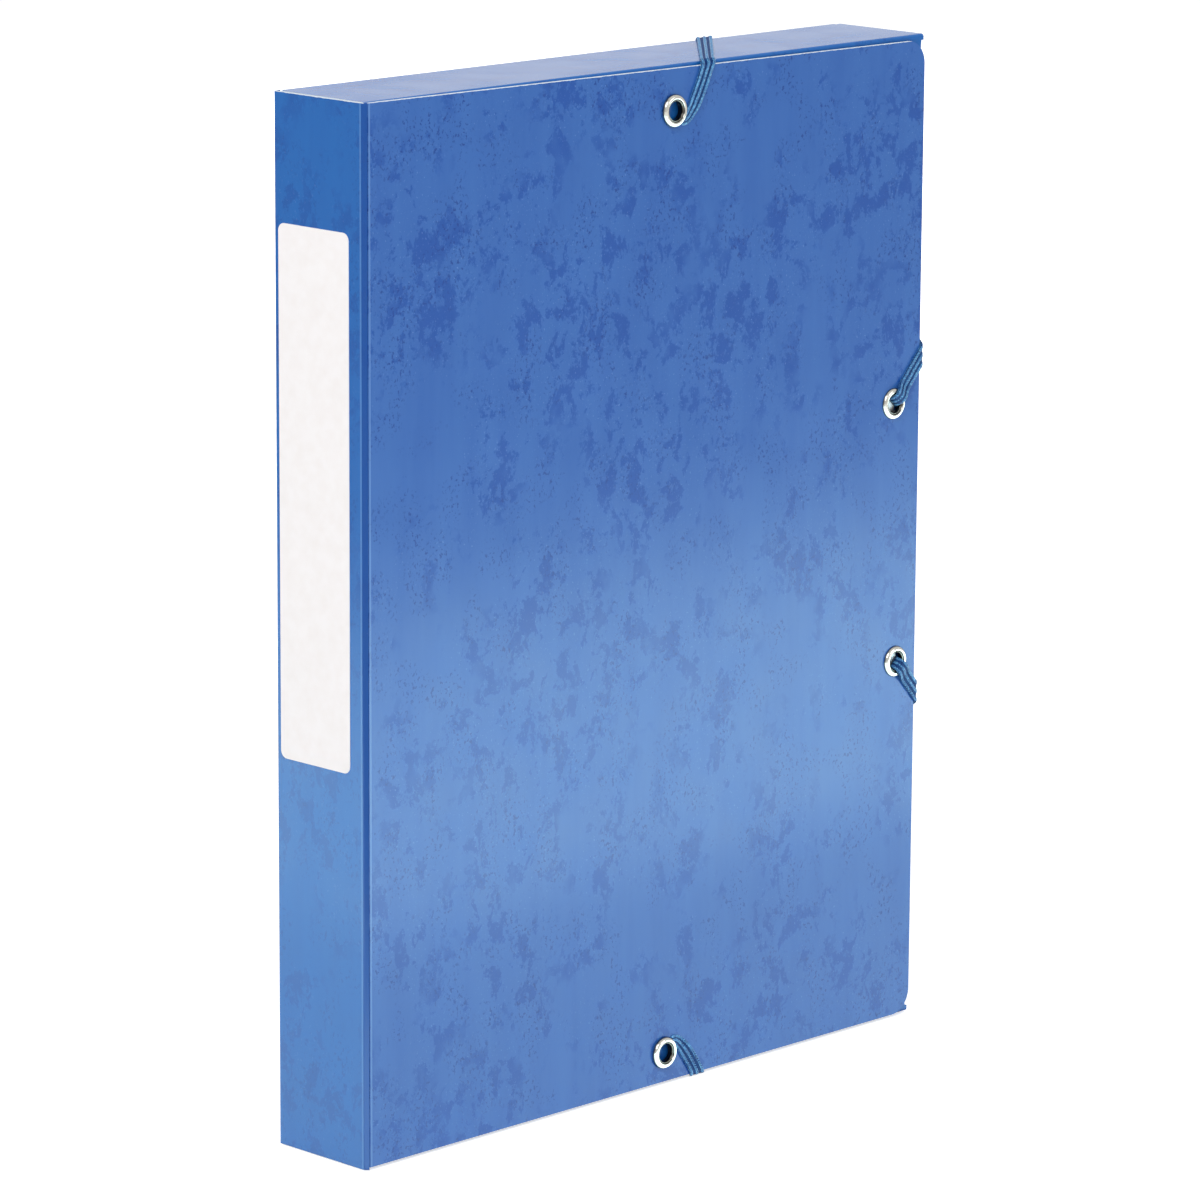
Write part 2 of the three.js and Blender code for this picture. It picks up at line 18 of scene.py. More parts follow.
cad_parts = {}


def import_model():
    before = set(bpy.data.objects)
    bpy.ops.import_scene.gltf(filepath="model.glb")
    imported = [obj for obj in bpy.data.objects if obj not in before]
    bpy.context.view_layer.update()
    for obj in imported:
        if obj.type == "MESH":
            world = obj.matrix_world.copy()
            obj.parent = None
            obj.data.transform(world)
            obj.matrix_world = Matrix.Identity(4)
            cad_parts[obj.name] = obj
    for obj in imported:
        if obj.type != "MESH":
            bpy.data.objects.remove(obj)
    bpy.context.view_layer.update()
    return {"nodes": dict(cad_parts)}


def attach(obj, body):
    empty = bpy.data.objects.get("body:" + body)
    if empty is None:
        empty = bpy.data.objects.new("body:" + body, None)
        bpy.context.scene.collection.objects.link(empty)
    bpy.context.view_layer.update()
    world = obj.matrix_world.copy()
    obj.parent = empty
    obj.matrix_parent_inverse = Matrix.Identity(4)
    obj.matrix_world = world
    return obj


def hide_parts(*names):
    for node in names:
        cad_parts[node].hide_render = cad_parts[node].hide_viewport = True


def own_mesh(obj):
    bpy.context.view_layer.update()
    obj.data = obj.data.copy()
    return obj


LOG = logging.getLogger("box_file")
MM = 0.001

# The folded card's own millimetre frame has its origin at the middle of the folded card's base.
# The row frame has its origin at the middle of the whole file's box.
CARD_ORIGIN_MM = Vector((-0.36, 0.6793, 0.42))


def to_linear(colour: str) -> tuple[float, float, float, float]:
    """Turns an sRGB hex colour into linear light.

    Args:
        colour: six hex digits, red first.

    Returns:
        Red, green, blue and an alpha of 1.
    """
    parts = [int(colour[i : i + 2], 16) / 255 for i in (0, 2, 4)]
    linear = [p / 12.92 if p <= 0.04045 else ((p + 0.055) / 1.055) ** 2.4 for p in parts]
    return (*linear, 1.0)


def add_node(tree: Tree, kind: str, inputs: dict | None = None, **settings: object) -> NodeOutputs:
    """Adds a node with its settings and links.

    Args:
        tree: the node tree that it goes into.
        kind: the node's type name.
        inputs: socket names or numbers, each with a value or with the output that feeds it.
        **settings: the node's own properties.

    Returns:
        The new node's outputs.
    """
    node = tree.nodes.new(kind)
    for name, value in settings.items():
        setattr(node, name, value)
    for key, value in (inputs or {}).items():
        if isinstance(value, Socket):
            tree.links.new(value, node.inputs[key])
        else:
            node.inputs[key].default_value = value
    return node.outputs


def new_material(name: str) -> tuple[Material, Tree]:
    """Makes an empty node material.

    Args:
        name: the material's name.

    Returns:
        The material and its cleared node tree.
    """
    material = bpy.data.materials.new(name)
    material.use_nodes = True
    material.node_tree.nodes.clear()
    return material, material.node_tree


def chain(tree: Tree, value: Socket | float, *steps: tuple, kind: str = "ShaderNodeMath") -> Socket:
    """Adds nodes of one kind in a row, each of which works on what the last one gives.

    Args:
        tree: the node tree that they go into.
        value: what the first one works on.
        *steps: each node's operation, with its other inputs in order.
        kind: the nodes' type name.

    Returns:
        What the last one gives.
    """
    for operation, *others in steps:
        value = add_node(tree, kind, {0: value, **dict(enumerate(others, 1))}, operation=operation)[0]
    return value


def tinted(tree: Tree, colour: Socket | tuple, *layers: tuple[Socket, str]) -> Socket:
    """Lays tints over a colour.

    Args:
        tree: the material's tree.
        colour: the colour under them, in linear light.
        *layers: each tint's share, with its sRGB hex colour.

    Returns:
        The colour with all its tints.
    """
    for share, tint in layers:
        tones = {0: share, 6: colour, 7: to_linear(tint)}
        colour = add_node(tree, "ShaderNodeMix", tones, data_type="RGBA")[2]
    return colour


def seen_directly(tree: Tree) -> Socket:
    """Tells rays of the camera, gloss and glass from those that only light things.

    Args:
        tree: the node tree that the test goes into.

    Returns:
        1 for a camera, glossy or transmission ray and 0 for any other.
    """
    path = add_node(tree, "ShaderNodeLightPath")
    kinds = (("MAXIMUM", path["Is Glossy Ray"]), ("MAXIMUM", path["Is Transmission Ray"]))
    return chain(tree, path["Is Camera Ray"], *kinds)


def mesh_object(name: str, mesh: Mesh) -> Object:
    """Puts a mesh into the scene as an object at the origin.

    Args:
        name: the object's name.
        mesh: its mesh, with its place in its vertices.

    Returns:
        The new object.
    """
    obj = bpy.data.objects.new(name, mesh)
    bpy.context.scene.collection.objects.link(obj)
    return obj


def dress(obj: Object, material: Material) -> None:
    """Gives every material slot of an object the same material.

    Args:
        obj: the object.
        material: its new material.
    """
    if not obj.material_slots:
        obj.data.materials.append(material)
    for slot in obj.material_slots:
        slot.material = material


def skin(name: str, loops: list[list[Vector]], closed: bool) -> Mesh:
    """Skins rings of points with quads that face outwards.

    Args:
        name: the mesh's name.
        loops: the rings in order, each with the same number of points.
        closed: whether the last ring joins the first, or else both ends get a cap.

    Returns:
        The mesh.
    """
    mesh = bmesh.new()
    rings = [[mesh.verts.new(point) for point in loop] for loop in loops]
    count = len(rings[0])
    for here, onward in zip(rings, rings[1:] + rings[: int(closed)]):
        for number in range(count):
            after = (number + 1) % count
            mesh.faces.new((here[number], onward[number], onward[after], here[after]))
    if not closed:
        mesh.faces.new(rings[0])
        mesh.faces.new(reversed(rings[-1]))
    bmesh.ops.recalc_face_normals(mesh, faces=mesh.faces)
    data = bpy.data.meshes.new(name)
    mesh.to_mesh(data)
    mesh.free()
    return data


@dataclass(frozen=True)
class FileSizes:
    """Sizes of the folded card in millimetres."""

    width: float = 250.0
    height: float = 330.0
    depth: float = 40.0
    card: float = 0.7
    edge_gap: float = 0.7
    crease: float = 1.2
    lid_gap: float = 0.3
    lid_top_drop: float = 1.7

    @property
    def left(self) -> float:
        """The spine's outer face."""
        return -self.width / 2

    @property
    def right(self) -> float:
        """The fore-edge wall's outer face."""
        return self.width / 2

    @property
    def front(self) -> float:
        """The lid's outer face."""
        return -self.depth / 2

    @property
    def back(self) -> float:
        """The back panel's outer face."""
        return self.depth / 2


@dataclass(frozen=True)
class EyeletSizes:
    """Sizes of a rolled eyelet in millimetres: radii, heights and the barrel's wall."""

    hole: float = 2.9
    wall: float = 0.3
    flange: float = 5.2
    rise: float = 1.2
    rolled_flange: float = 4.6
    roll: float = 0.4
    seam: float = 3.45


@dataclass(frozen=True)
class LidPlace:
    """A place on the lid, by its distance from the fore-edge and from the strap's end."""

    from_fore_edge: float
    from_end: float

    def point(self, sizes: FileSizes, upper: bool) -> tuple[float, float]:
        """Finds the place on the lid.

        Args:
            sizes: the card's sizes.
            upper: whether the strap's end is the upper one.

        Returns:
            The place across and up the lid.
        """
        return sizes.right - self.from_fore_edge, sizes.height - self.from_end if upper else self.from_end


class Blend(Enum):
    """How a share grows between two levels of noise."""

    EVEN = "LINEAR"
    SOFT = "SMOOTHSTEP"


@dataclass(frozen=True)
class Noise:
    """Noise over the place in millimetres, cut between two of its levels."""

    scale: float
    detail: float
    low: float
    high: float
    roughness: float = 0.5
    distortion: float = 0.0
    blend: Blend = Blend.EVEN

    def share(self, tree: Tree, place: Socket, bottom: float = 0.0, top: float = 1.0) -> Socket:
        """Adds the noise.

        Args:
            tree: the material's tree.
            place: the point in millimetres.
            bottom: the share up to the low level.
            top: the share from the high level on.

        Returns:
            The share at the point.
        """
        pattern = {"Scale": self.scale, "Detail": self.detail, "Roughness": self.roughness}
        pattern |= {"Vector": place, "Distortion": self.distortion}
        levels = {"From Min": self.low, "From Max": self.high, "To Min": bottom, "To Max": top}
        levels["Value"] = add_node(tree, "ShaderNodeTexNoise", pattern)[0]
        return add_node(tree, "ShaderNodeMapRange", levels, interpolation_type=self.blend.value)[0]


@dataclass(frozen=True)
class Finish(ABC):
    """A finish of one real material, laid out over the object's own place in millimetres."""

    name: str

    @abstractmethod
    def surface(self, tree: Tree, place: Socket, normal: Socket) -> dict[str, object]:
        """Adds what the surface looks like.

        Args:
            tree: the material's tree.
            place: the point in millimetres.
            normal: the surface's own normal.

        Returns:
            The Principled shader's inputs.
        """

    def build(self) -> Material:
        """Builds the material.

        Returns:
            The finish's material.
        """
        material, tree = new_material(self.name)
        coords = add_node(tree, "ShaderNodeTexCoord")
        per_mm = (1 / MM,) * 3
        place = chain(tree, coords["Object"], ("MULTIPLY", per_mm), kind="ShaderNodeVectorMath")
        inputs = self.surface(tree, place, coords["Normal"])
        shader = add_node(tree, "ShaderNodeBsdfPrincipled", inputs)
        add_node(tree, "ShaderNodeOutputMaterial", {0: shader[0]})
        return material


class Face(Enum):
    """Which way the cut edge of a sheet of card faces, by the number of its axis."""

    ACROSS = 0
    UP = 2


@dataclass(frozen=True)
class EdgeZone:
    """A box in which faces turned one way are cut edges of the card."""

    face: Face
    low: tuple[float, float, float]
    high: tuple[float, float, float]


@dataclass(frozen=True)
class MottledCard(Finish):
    """Pressboard of about 0.7 mm, dyed blue in a marbled print and calendered to a low gloss.

    The eye sees a calm blue ground with ragged darker clouds of 3 to 8 mm, clusters of fine dark
    flecks and a few pale ones, a soft sheen at low angles, and a white core on the cut edges.
    """

    sizes: FileSizes
    zones: tuple[EdgeZone, ...]
    ground: str = "386ab4"
    cloud: str = "1b50a3"
    fleck: str = "173f8c"
    pale: str = "6f9bd4"
    core: str = "dfe8ef"
    drift_share: float = 0.3
    cloud_share: float = 0.9
    fleck_share: float = 0.85
    pale_share: float = 0.4
    # Painted shade on the scored crease strip, and painted highlights beside it
    facet_shade_share: float = 0.85
    crease_highlight_share: float = 0.5
    roughness: float = 0.2
    core_roughness: float = 0.85
    burr: float = 0.2
    burr_slope: float = 0.0
    # Calm and busy regions of 30 to 60 mm
    regions: Noise = Noise(0.03, 4.0, 0.4, 0.54, roughness=0.65, blend=Blend.SOFT)
    # Ragged clouds of 3 to 8 mm
    clouds: Noise = Noise(0.13, 8.0, 0.52, 0.555, roughness=0.74, distortion=0.25, blend=Blend.SOFT)
    # Flecks of 0.4 to 0.8 mm, gathered in clusters of about 12 mm
    clusters: Noise = Noise(0.085, 2.0, 0.47, 0.62, blend=Blend.SOFT)
    flecks: Noise = Noise(0.85, 3.0, 0.565, 0.61, roughness=0.65, distortion=0.3, blend=Blend.SOFT)
    pale_flecks: Noise = Noise(1.3, 2.0, 0.62, 0.7, roughness=0.6, blend=Blend.SOFT)
    # The ground drifts a little in long upright streaks of about 10 mm
    drift: Noise = Noise(0.12, 5.0, 0.35, 0.68, roughness=0.6)
    # The calendered surface swells over about 20 mm, and a torn edge is ragged over 2 mm
    swell: Noise = Noise(0.05, 1.0, 0.3, 0.7)
    ragged: Noise = Noise(0.5, 4.0, 0.35, 0.65)

    def surface(self, tree: Tree, place: Socket, normal: Socket) -> dict[str, object]:
        """Adds the print, the painted shade and highlights at the crease, the cut edges and the fibres.

        Args:
            tree: the material's tree.
            place: the point in millimetres.
            normal: the surface's own normal.

        Returns:
            The Principled shader's inputs.
        """
        place = chain(tree, place, ("SUBTRACT", tuple(CARD_ORIGIN_MM)), kind="ShaderNodeVectorMath")
        split = add_node(tree, "ShaderNodeSeparateXYZ", {0: place})
        cut = self._cut_edges(tree, normal, split, place)
        layers = (*self._print(tree, place), *self._crease_shade_and_highlights(tree, split), (cut, self.core))
        fibre = {"Vector": place, "Scale": 2.2, "Detail": 4.0, "Roughness": 0.6}
        fibre = add_node(tree, "ShaderNodeTexNoise", fibre)[0]
        sheen = self.swell.share(tree, place, self.roughness - 0.03, self.roughness + 0.03)
        rough = {0: cut, 2: sheen, 3: self.core_roughness}
        bump = add_node(tree, "ShaderNodeBump", {"Strength": 0.12, "Distance": 0.02 * MM, "Height": fibre})
        return {
            "Base Color": tinted(tree, to_linear(self.ground), *layers),
            "Roughness": add_node(tree, "ShaderNodeMix", rough, data_type="FLOAT")[0],
            "IOR": 1.45,
            "Specular IOR Level": 0.25,
            "Normal": bump[0],
        }

    def _print(self, tree: Tree, place: Socket) -> list[tuple[Socket, str]]:
        """Adds the marbled print.

        Args:
            tree: the material's tree.
            place: the point in millimetres.

        Returns:
            The share of each tint.
        """
        streaked, drifting = (
            chain(tree, place, ("MULTIPLY", stretch), kind="ShaderNodeVectorMath")
            for stretch in ((1.0, 1.0, 0.8), (1.0, 1.0, 0.12))
        )
        busy = self.regions.share(tree, streaked)
        gathered = self.clusters.share(tree, streaked)
        layers = [(self.drift.share(tree, drifting, top=self.drift_share * self.cloud_share), self.cloud)]
        for noise, top, where, tint in (
            (self.clouds, self.cloud_share, busy, self.cloud),
            (self.pale_flecks, self.pale_share, busy, self.pale),
            (self.flecks, self.fleck_share, gathered, self.fleck),
        ):
            share = noise.share(tree, streaked, top=top)
            layers.append((chain(tree, share, ("MULTIPLY", where)), tint))
        return layers

    def _crease_shade_and_highlights(self, tree: Tree, split: NodeOutputs) -> list[tuple[Socket, str]]:
        """Adds painted shade on the scored strip between the spine and the lid, and a pale painted
        highlight beside it on either face, where the score has also lightened the print a little.

        Args:
            tree: the material's tree.
            split: the point's three coordinates.

        Returns:
            The share of each tint.
        """
        sizes, half_line, past_corner = self.sizes, 0.35, 0.5
        limit = sizes.left + sizes.front + sizes.crease + 0.2
        # Painted shade: the scored crease strip is darkened with the fleck tint
        facet_shade = (("ADD", split[1]), ("LESS_THAN", limit), ("MULTIPLY", self.facet_shade_share))
        layers = [(chain(tree, split[0], *facet_shade), self.fleck)]
        # Painted highlight: a pale stripe on each face beside the strip, where the print is also a little
        # lightened
        for axis, middle, face_axis, face in (
            (1, sizes.front + sizes.crease + 0.55, 0, sizes.left),
            (0, sizes.left + sizes.crease + sizes.lid_gap + 0.6, 1, sizes.front),
        ):
            outer = chain(tree, split[face_axis], ("LESS_THAN", face + past_corner))
            highlight_stripe = (("COMPARE", middle, half_line), ("MULTIPLY", outer), ("MULTIPLY", self.crease_highlight_share))
            layers.append((chain(tree, split[axis], *highlight_stripe), self.pale))
        return layers

    def _cut_edges(self, tree: Tree, normal: Socket, split: NodeOutputs, place: Socket) -> Socket:
        """Finds the card's cut edges, and the thin white burr beside those at the top.

        Args:
            tree: the material's tree.
            normal: the surface's own normal.
            split: the point's three coordinates.
            place: the point in millimetres.

        Returns:
            1 on a cut edge and 0 elsewhere.
        """
        sizes, facing, level, past_face = self.sizes, 0.75, 0.2, 0.5
        ways = add_node(tree, "ShaderNodeSeparateXYZ", {0: normal})
        cut: Socket | float = 0.0
        for zone in self.zones:
            tests = [("ABSOLUTE",), ("GREATER_THAN", facing)]
            for number, (low, high) in enumerate(zip(zone.low, zone.high)):
                inside = ("COMPARE", (low + high) / 2, (high - low) / 2)
                tests.append(("MULTIPLY", chain(tree, split[number], inside)))
            share = chain(tree, ways[zone.face.value], *tests)
            cut = chain(tree, cut, ("MAXIMUM", share))
        # The burr runs along the top edge, which falls away from the spine on the lid
        reach = self.ragged.share(tree, place, 0.6 * self.burr, 1.2 * self.burr)
        top = ("MULTIPLY_ADD", self.burr_slope, sizes.height - sizes.left * self.burr_slope)
        below = chain(tree, split[0], top, ("SUBTRACT", split[2]), ("LESS_THAN", reach))
        upright = chain(tree, ways[2], ("ABSOLUTE",), ("LESS_THAN", level))
        axis, face = (1, sizes.front) if self.burr_slope else (0, sizes.left)
        near = chain(tree, split[axis], ("LESS_THAN", face + past_face))
        burr = chain(tree, below, ("MULTIPLY", upright), ("MULTIPLY", near))
        return chain(tree, cut, ("MAXIMUM", burr))


@dataclass(frozen=True)
class UncoatedPaper(Finish):
    """Smooth uncoated label paper, calendered: a warm white with a faint fibre cloud."""

    name: str = "uncoated_label_paper"
    tone: str = "f9f5f5"
    shade: str = "f6f1f0"
    # Fibre clouds of about 4 mm
    cloud: Noise = Noise(0.25, 4.0, 0.35, 0.7)

    def surface(self, tree: Tree, place: Socket, normal: Socket) -> dict[str, object]:
        """Adds the fibre clouds, over fibres of 0.3 mm.

        Args:
            tree: the material's tree.
            place: the point in millimetres.
            normal: the surface's own normal.

        Returns:
            The Principled shader's inputs.
        """
        fibre = {"Vector": place, "Scale": 3.0, "Detail": 3.0}
        fibre = add_node(tree, "ShaderNodeTexNoise", fibre)[0]
        cloud = self.cloud.share(tree, place)
        bump = add_node(tree, "ShaderNodeBump", {"Strength": 0.2, "Distance": 0.02 * MM, "Height": fibre})
        return {
            "Base Color": tinted(tree, to_linear(self.tone), (cloud, self.shade)),
            "Roughness": 0.8,
            "IOR": 1.5,
            "Specular IOR Level": 0.2,
            "Normal": bump[0],
        }


@dataclass(frozen=True)
class PlatedBrass(Finish):
    """Nickel plate on a turned and rolled brass eyelet: bright, faintly warm, with fine turning
    rings, and painted shade in the seam where the rolled barrel meets the dome, round the rim and in the
    barrel."""

    centre: tuple[float, float]
    sizes: EyeletSizes
    tone: str = "bdbbb3"
    # Colour and widths of the painted shade in the seam, round the rim and in the barrel
    seam: str = "2d2b28"
    seam_shade_width: float = 0.4
    shade_band_width: float = 0.35
    ring_pitch: float = 0.15
    # Finger marks and wear over about 1.5 mm
    smear: Noise = Noise(0.7, 3.0, 0.3, 0.7)

    def surface(self, tree: Tree, place: Socket, normal: Socket) -> dict[str, object]:
        """Adds the painted shade in the seam, round the rim and in the barrel, and the turning rings.

        Args:
            tree: the material's tree.
            place: the point in millimetres.
            normal: the surface's own normal.

        Returns:
            The Principled shader's inputs.
        """
        middle = (self.centre[0] + CARD_ORIGIN_MM.x, 0.0, self.centre[1] + CARD_ORIGIN_MM.z)
        flat = (("SUBTRACT", middle), ("MULTIPLY", (1.0, 0.0, 1.0)))
        flat = chain(tree, place, *flat, kind="ShaderNodeVectorMath")
        radius = add_node(tree, "ShaderNodeVectorMath", {0: flat}, operation="LENGTH")["Value"]
        # Painted shade: a dark ring over the seam's groove
        away = chain(tree, radius, ("SUBTRACT", self.sizes.seam), ("ABSOLUTE",))
        limits = {"From Min": 0.0, "From Max": self.seam_shade_width, "To Min": 1.0, "To Max": 0.0}
        seam = add_node(
            tree, "ShaderNodeMapRange", {"Value": away, **limits}, interpolation_type="SMOOTHSTEP"
        )[0]
        # Painted shade darkens the plate where the dome turns down to the card, and painted shadow darkens
        # the barrel
        flange, inside = self.sizes.flange, self.sizes.hole + 0.25
        shaded = seam
        for start, end, first, last in (
            (flange - self.shade_band_width, flange, 0.0, 0.75),
            (inside, inside + self.shade_band_width, 0.96, 0.0),
        ):
            limits = {"From Min": start, "From Max": end, "To Min": first, "To Max": last}
            dark = add_node(tree, "ShaderNodeMapRange", {"Value": radius, **limits})[0]
            shaded = chain(tree, shaded, ("MAXIMUM", dark))
        turns = ("MULTIPLY", 2 * math.pi / self.ring_pitch)
        ring = chain(tree, radius, turns, ("SINE",))
        sunk = chain(tree, seam, ("MULTIPLY", -1.0))
        groove = {"Strength": 0.8, "Distance": 0.12 * MM, "Height": sunk}
        groove = add_node(tree, "ShaderNodeBump", groove)[0]
        turned = {"Strength": 0.05, "Distance": 0.01 * MM, "Height": ring, "Normal": groove}
        return {
            "Base Color": tinted(tree, to_linear(self.tone), (shaded, self.seam)),
            "Metallic": 1.0,
            "Roughness": self.smear.share(tree, place, 0.1, 0.2),
            "Normal": add_node(tree, "ShaderNodeBump", turned)[0],
        }


@dataclass(frozen=True)
class CrimpedSteel(Finish):
    """Zinc-plated strip steel, pressed flat round the elastic's end: grey with long drawn lines."""

    name: str = "crimped_zinc_plated_steel"
    tone: str = "b4b6b9"
    worn: str = "8f9194"

    def surface(self, tree: Tree, place: Socket, normal: Socket) -> dict[str, object]:
        """Adds the drawn lines, 0.1 mm apart and several millimetres long.

        Args:
            tree: the material's tree.
            place: the point in millimetres.
            normal: the surface's own normal.

        Returns:
            The Principled shader's inputs.
        """
        drawn = {"Vector": place, "Scale": (10.0, 10.0, 0.3)}
        drawn = add_node(tree, "ShaderNodeMapping", drawn)[0]
        lines = {"Vector": drawn, "Scale": 1.0, "Detail": 3.0}
        lines = add_node(tree, "ShaderNodeTexNoise", lines)[0]
        colour = tinted(tree, to_linear(self.tone), (lines, self.worn))
        bump = add_node(tree, "ShaderNodeBump", {"Strength": 0.2, "Distance": 0.01 * MM, "Height": lines})
        return {"Base Color": colour, "Metallic": 1.0, "Roughness": 0.38, "Normal": bump[0]}


@dataclass(frozen=True)
class BraidedYarn(Finish):
    """Polyester yarn, textured and dyed blue, braided over latex: a fibrous surface with a soft
    sheen, in which each yarn differs a little from its neighbours."""

    name: str = "braided_polyester_yarn"
    light: str = "7cc0e4"
    middle: str = "2a7cb6"
    dark: str = "124a86"

    def surface(self, tree: Tree, place: Socket, normal: Socket) -> dict[str, object]:
        """Adds the yarns' differences, over about 0.5 mm, and their fibres.

        Args:
            tree: the material's tree.
            place: the point in millimetres.
            normal: the surface's own normal.

        Returns:
            The Principled shader's inputs.
        """
        lots = {"Vector": place, "Scale": 1.6, "Detail": 3.0, "Roughness": 0.7}
        lots = add_node(tree, "ShaderNodeTexNoise", lots)[0]
        ramp = add_node(tree, "ShaderNodeValToRGB", {0: lots})
        stops = ramp[0].node.color_ramp.elements
        stops[0].position = 0.36
        stops[0].color = to_linear(self.dark)
        stops[1].position = 0.68
        stops[1].color = to_linear(self.light)
        stops.new(0.52).color = to_linear(self.middle)
        fibre = {"Vector": place, "Scale": 12.0, "Detail": 2.0}
        fibre = add_node(tree, "ShaderNodeTexNoise", fibre)[0]
        bump = add_node(tree, "ShaderNodeBump", {"Strength": 0.3, "Distance": 0.03 * MM, "Height": fibre})
        return {
            "Base Color": ramp[0],
            "Roughness": 0.5,
            "IOR": 1.5,
            "Sheen Weight": 0.25,
            "Sheen Roughness": 0.4,
            "Normal": bump[0],
        }


@dataclass(frozen=True)
class BraidGround(Finish):
    """The braid's ground between the yarns' crowns: the same dyed polyester over latex, in shade."""

    name: str = "braid_ground_over_latex"
    tone: str = "165292"
    deep: str = "08285a"

    def surface(self, tree: Tree, place: Socket, normal: Socket) -> dict[str, object]:
        """Adds crossing threads of 0.4 mm.

        Args:
            tree: the material's tree.
            place: the point in millimetres.
            normal: the surface's own normal.

        Returns:
            The Principled shader's inputs.
        """
        cells = add_node(tree, "ShaderNodeTexVoronoi", {"Vector": place, "Scale": 2.5})["Distance"]
        limits = {"Value": cells, "From Min": 0.1, "From Max": 0.6}
        share = add_node(tree, "ShaderNodeMapRange", limits)[0]
        bump = add_node(tree, "ShaderNodeBump", {"Strength": 0.4, "Distance": 0.05 * MM, "Height": cells})
        return {
            "Base Color": tinted(tree, to_linear(self.tone), (share, self.deep)),
            "Roughness": 0.7,
            "IOR": 1.5,
            "Specular IOR Level": 0.15,
            "Normal": bump[0],
        }


@dataclass
class Section:
    """One section across a strap, in the flat strap's own coordinates."""

    middle: Vector
    reach: Vector
    tilt: Vector
    rise: float
    lean: float
    half: float

    def blended(self, other: "Section", share: float) -> "Section":
        """Mixes this section with the next one.

        Args:
            other: the next section.
            share: 0 for this section and 1 for the other.

        Returns:
            The section between them.
        """
        pairs = zip(vars(self).values(), vars(other).values())
        return Section(*(mine + (theirs - mine) * share for mine, theirs in pairs))


@dataclass(frozen=True)
class FoldLine:
    """A folded edge of the box in the flat strap's coordinates."""

    start: float
    end: float
    direction: Vector
    over_end: bool


@dataclass
class StrapRoute:
    """The way of one strap round the box's corner, folded over four of its edges."""

    sizes: FileSizes
    eyelet: EyeletSizes
    upper: bool
    clamp: LidPlace
    hole: LidPlace
    crossing: LidPlace
    width: float = 5.3
    thickness: float = 0.8
    lift: float = 0.12
    bend: float = 1.0
    clamp_width: float = 3.4
    hole_width: float = 4.4
    squeezed: float = 0.3
    # Given: the hidden start and the first turn, from the clamping eyelet's centre, and the
    # sag between that turn and the lid's edge
    lead_start: tuple[float, float] = (3.4, -3.2)
    lead_turn: tuple[float, float] = (6.4, -2.7)
    lead_sag: tuple[float, float] = (0.3, -0.4)

    def folds(self, length: float) -> tuple[float, float, float, float]:
        """Gives the distances at which a way over two edges turns.

        Args:
            length: the way's length up to its first edge.

        Returns:
            The starts and ends of both turns.
        """
        arc = math.pi / 2 * self.bend
        first = length - self.bend
        second = first + arc + self.sizes.depth - 2 * self.bend
        return first, first + arc, second, second + arc

    def over(self, distance: float, length: float) -> tuple[float, float, float, float]:
        """Follows a way up one face, over its edge, across the depth and down the far face.

        Args:
            distance: how far along the way.
            length: the way's length up to its first edge.

        Returns:
            The places along and deep, and the outward direction along and deep.
        """
        first, first_end, second, second_end = self.folds(length)
        if distance < first:
            return distance, 0.0, 0.0, -1.0
        if distance < first_end:
            angle = (distance - first) / self.bend
            out_along, out_deep = math.sin(angle), -math.cos(angle)
            return first + self.bend * out_along, self.bend * (1 + out_deep), out_along, out_deep
        if distance < second:
            return length, self.bend + distance - first_end, 1.0, 0.0
        if distance < second_end:
            angle = (distance - second) / self.bend
            out_along, out_deep = math.cos(angle), math.sin(angle)
            deep = self.sizes.depth - self.bend * (1 - out_deep)
            return first + self.bend * out_along, deep, out_along, out_deep
        return first - (distance - second_end), self.sizes.depth, 0.0, 1.0

    def folded(self, across: float, up: float, out: float) -> Vector:
        """Folds a point of the flat strap round the box.

        Args:
            across: the distance across the lid.
            up: the distance up the lid and on over the end wall.
            out: the height over the card.

        Returns:
            The point in the row frame, in metres.
        """
        sizes = self.sizes
        along, deep, out_along, out_deep = self.over(up, sizes.height)
        if up <= self.folds(sizes.height)[3]:
            point = Vector((across, sizes.front + deep + out_deep * out, along + out_along * out))
        else:
            side, side_deep, side_out, side_out_deep = self.over(across - sizes.left, sizes.width)
            wide = sizes.left + side + side_out * out
            point = Vector((wide, sizes.back - side_deep - side_out_deep * out, along))
        if not self.upper:
            point.z = sizes.height - point.z
        return (point + CARD_ORIGIN_MM) * MM

    def _flat(
        self, middle: Vector, way: Vector, travel: Vector, low: float, high: float, width: float
    ) -> Section:
        """Makes a section that lies flat on the card.

        Args:
            middle: the section's middle.
            way: the direction that it lies in.
            travel: the strap's own direction.
            low: the height of its underside.
            high: the height of its top.
            width: the strap's width there.

        Returns:
            The section.
        """
        slant = abs(travel.x * way.y - travel.y * way.x)
        reach = way * (width / 2 / slant)
        return Section(middle, reach, Vector((0, 0)), (low + high) / 2, 1.0, (high - low) / 2)

    def _fold(
        self, before: Vector, here: Vector, after: Vector, fold: FoldLine, low: float, high: float
    ) -> list[Section]:
        """Makes the sections over one folded edge, which lie along that edge.

        Args:
            before: the route's last corner.
            here: the route's corner on the edge.
            after: its next corner.
            fold: the edge.
            low: the height of the strap's underside.
            high: the height of its top.

        Returns:
            The sections in order.
        """
        first, second = (here - before).normalized(), (after - here).normalized()
        travel = (first + second).normalized()
        number, steps = int(fold.over_end), 5
        sections = []
        for step in range(steps + 1):
            distance = fold.start + (fold.end - fold.start) * step / steps
            way = first if distance < here[number] else second
            middle = here + way * ((distance - here[number]) / way[number])
            sections.append(self._flat(middle, fold.direction, travel, low, high, self.width))
        return sections

    def _rim(self, last: Vector, near: Vector) -> list[Section]:
        """Makes the sections over the eyelet's rim and down through its hole.

        Args:
            last: the eyelet's centre.
            near: the route's corner on the edge before it.

        Returns:
            The sections in order.
        """
        travel = (last - near).normalized()
        square = Vector((travel.y, -travel.x))
        eyelet, half = self.eyelet, self.thickness / 2
        crest = (eyelet.flange + eyelet.hole) / 2
        through = self.sizes.card + eyelet.roll
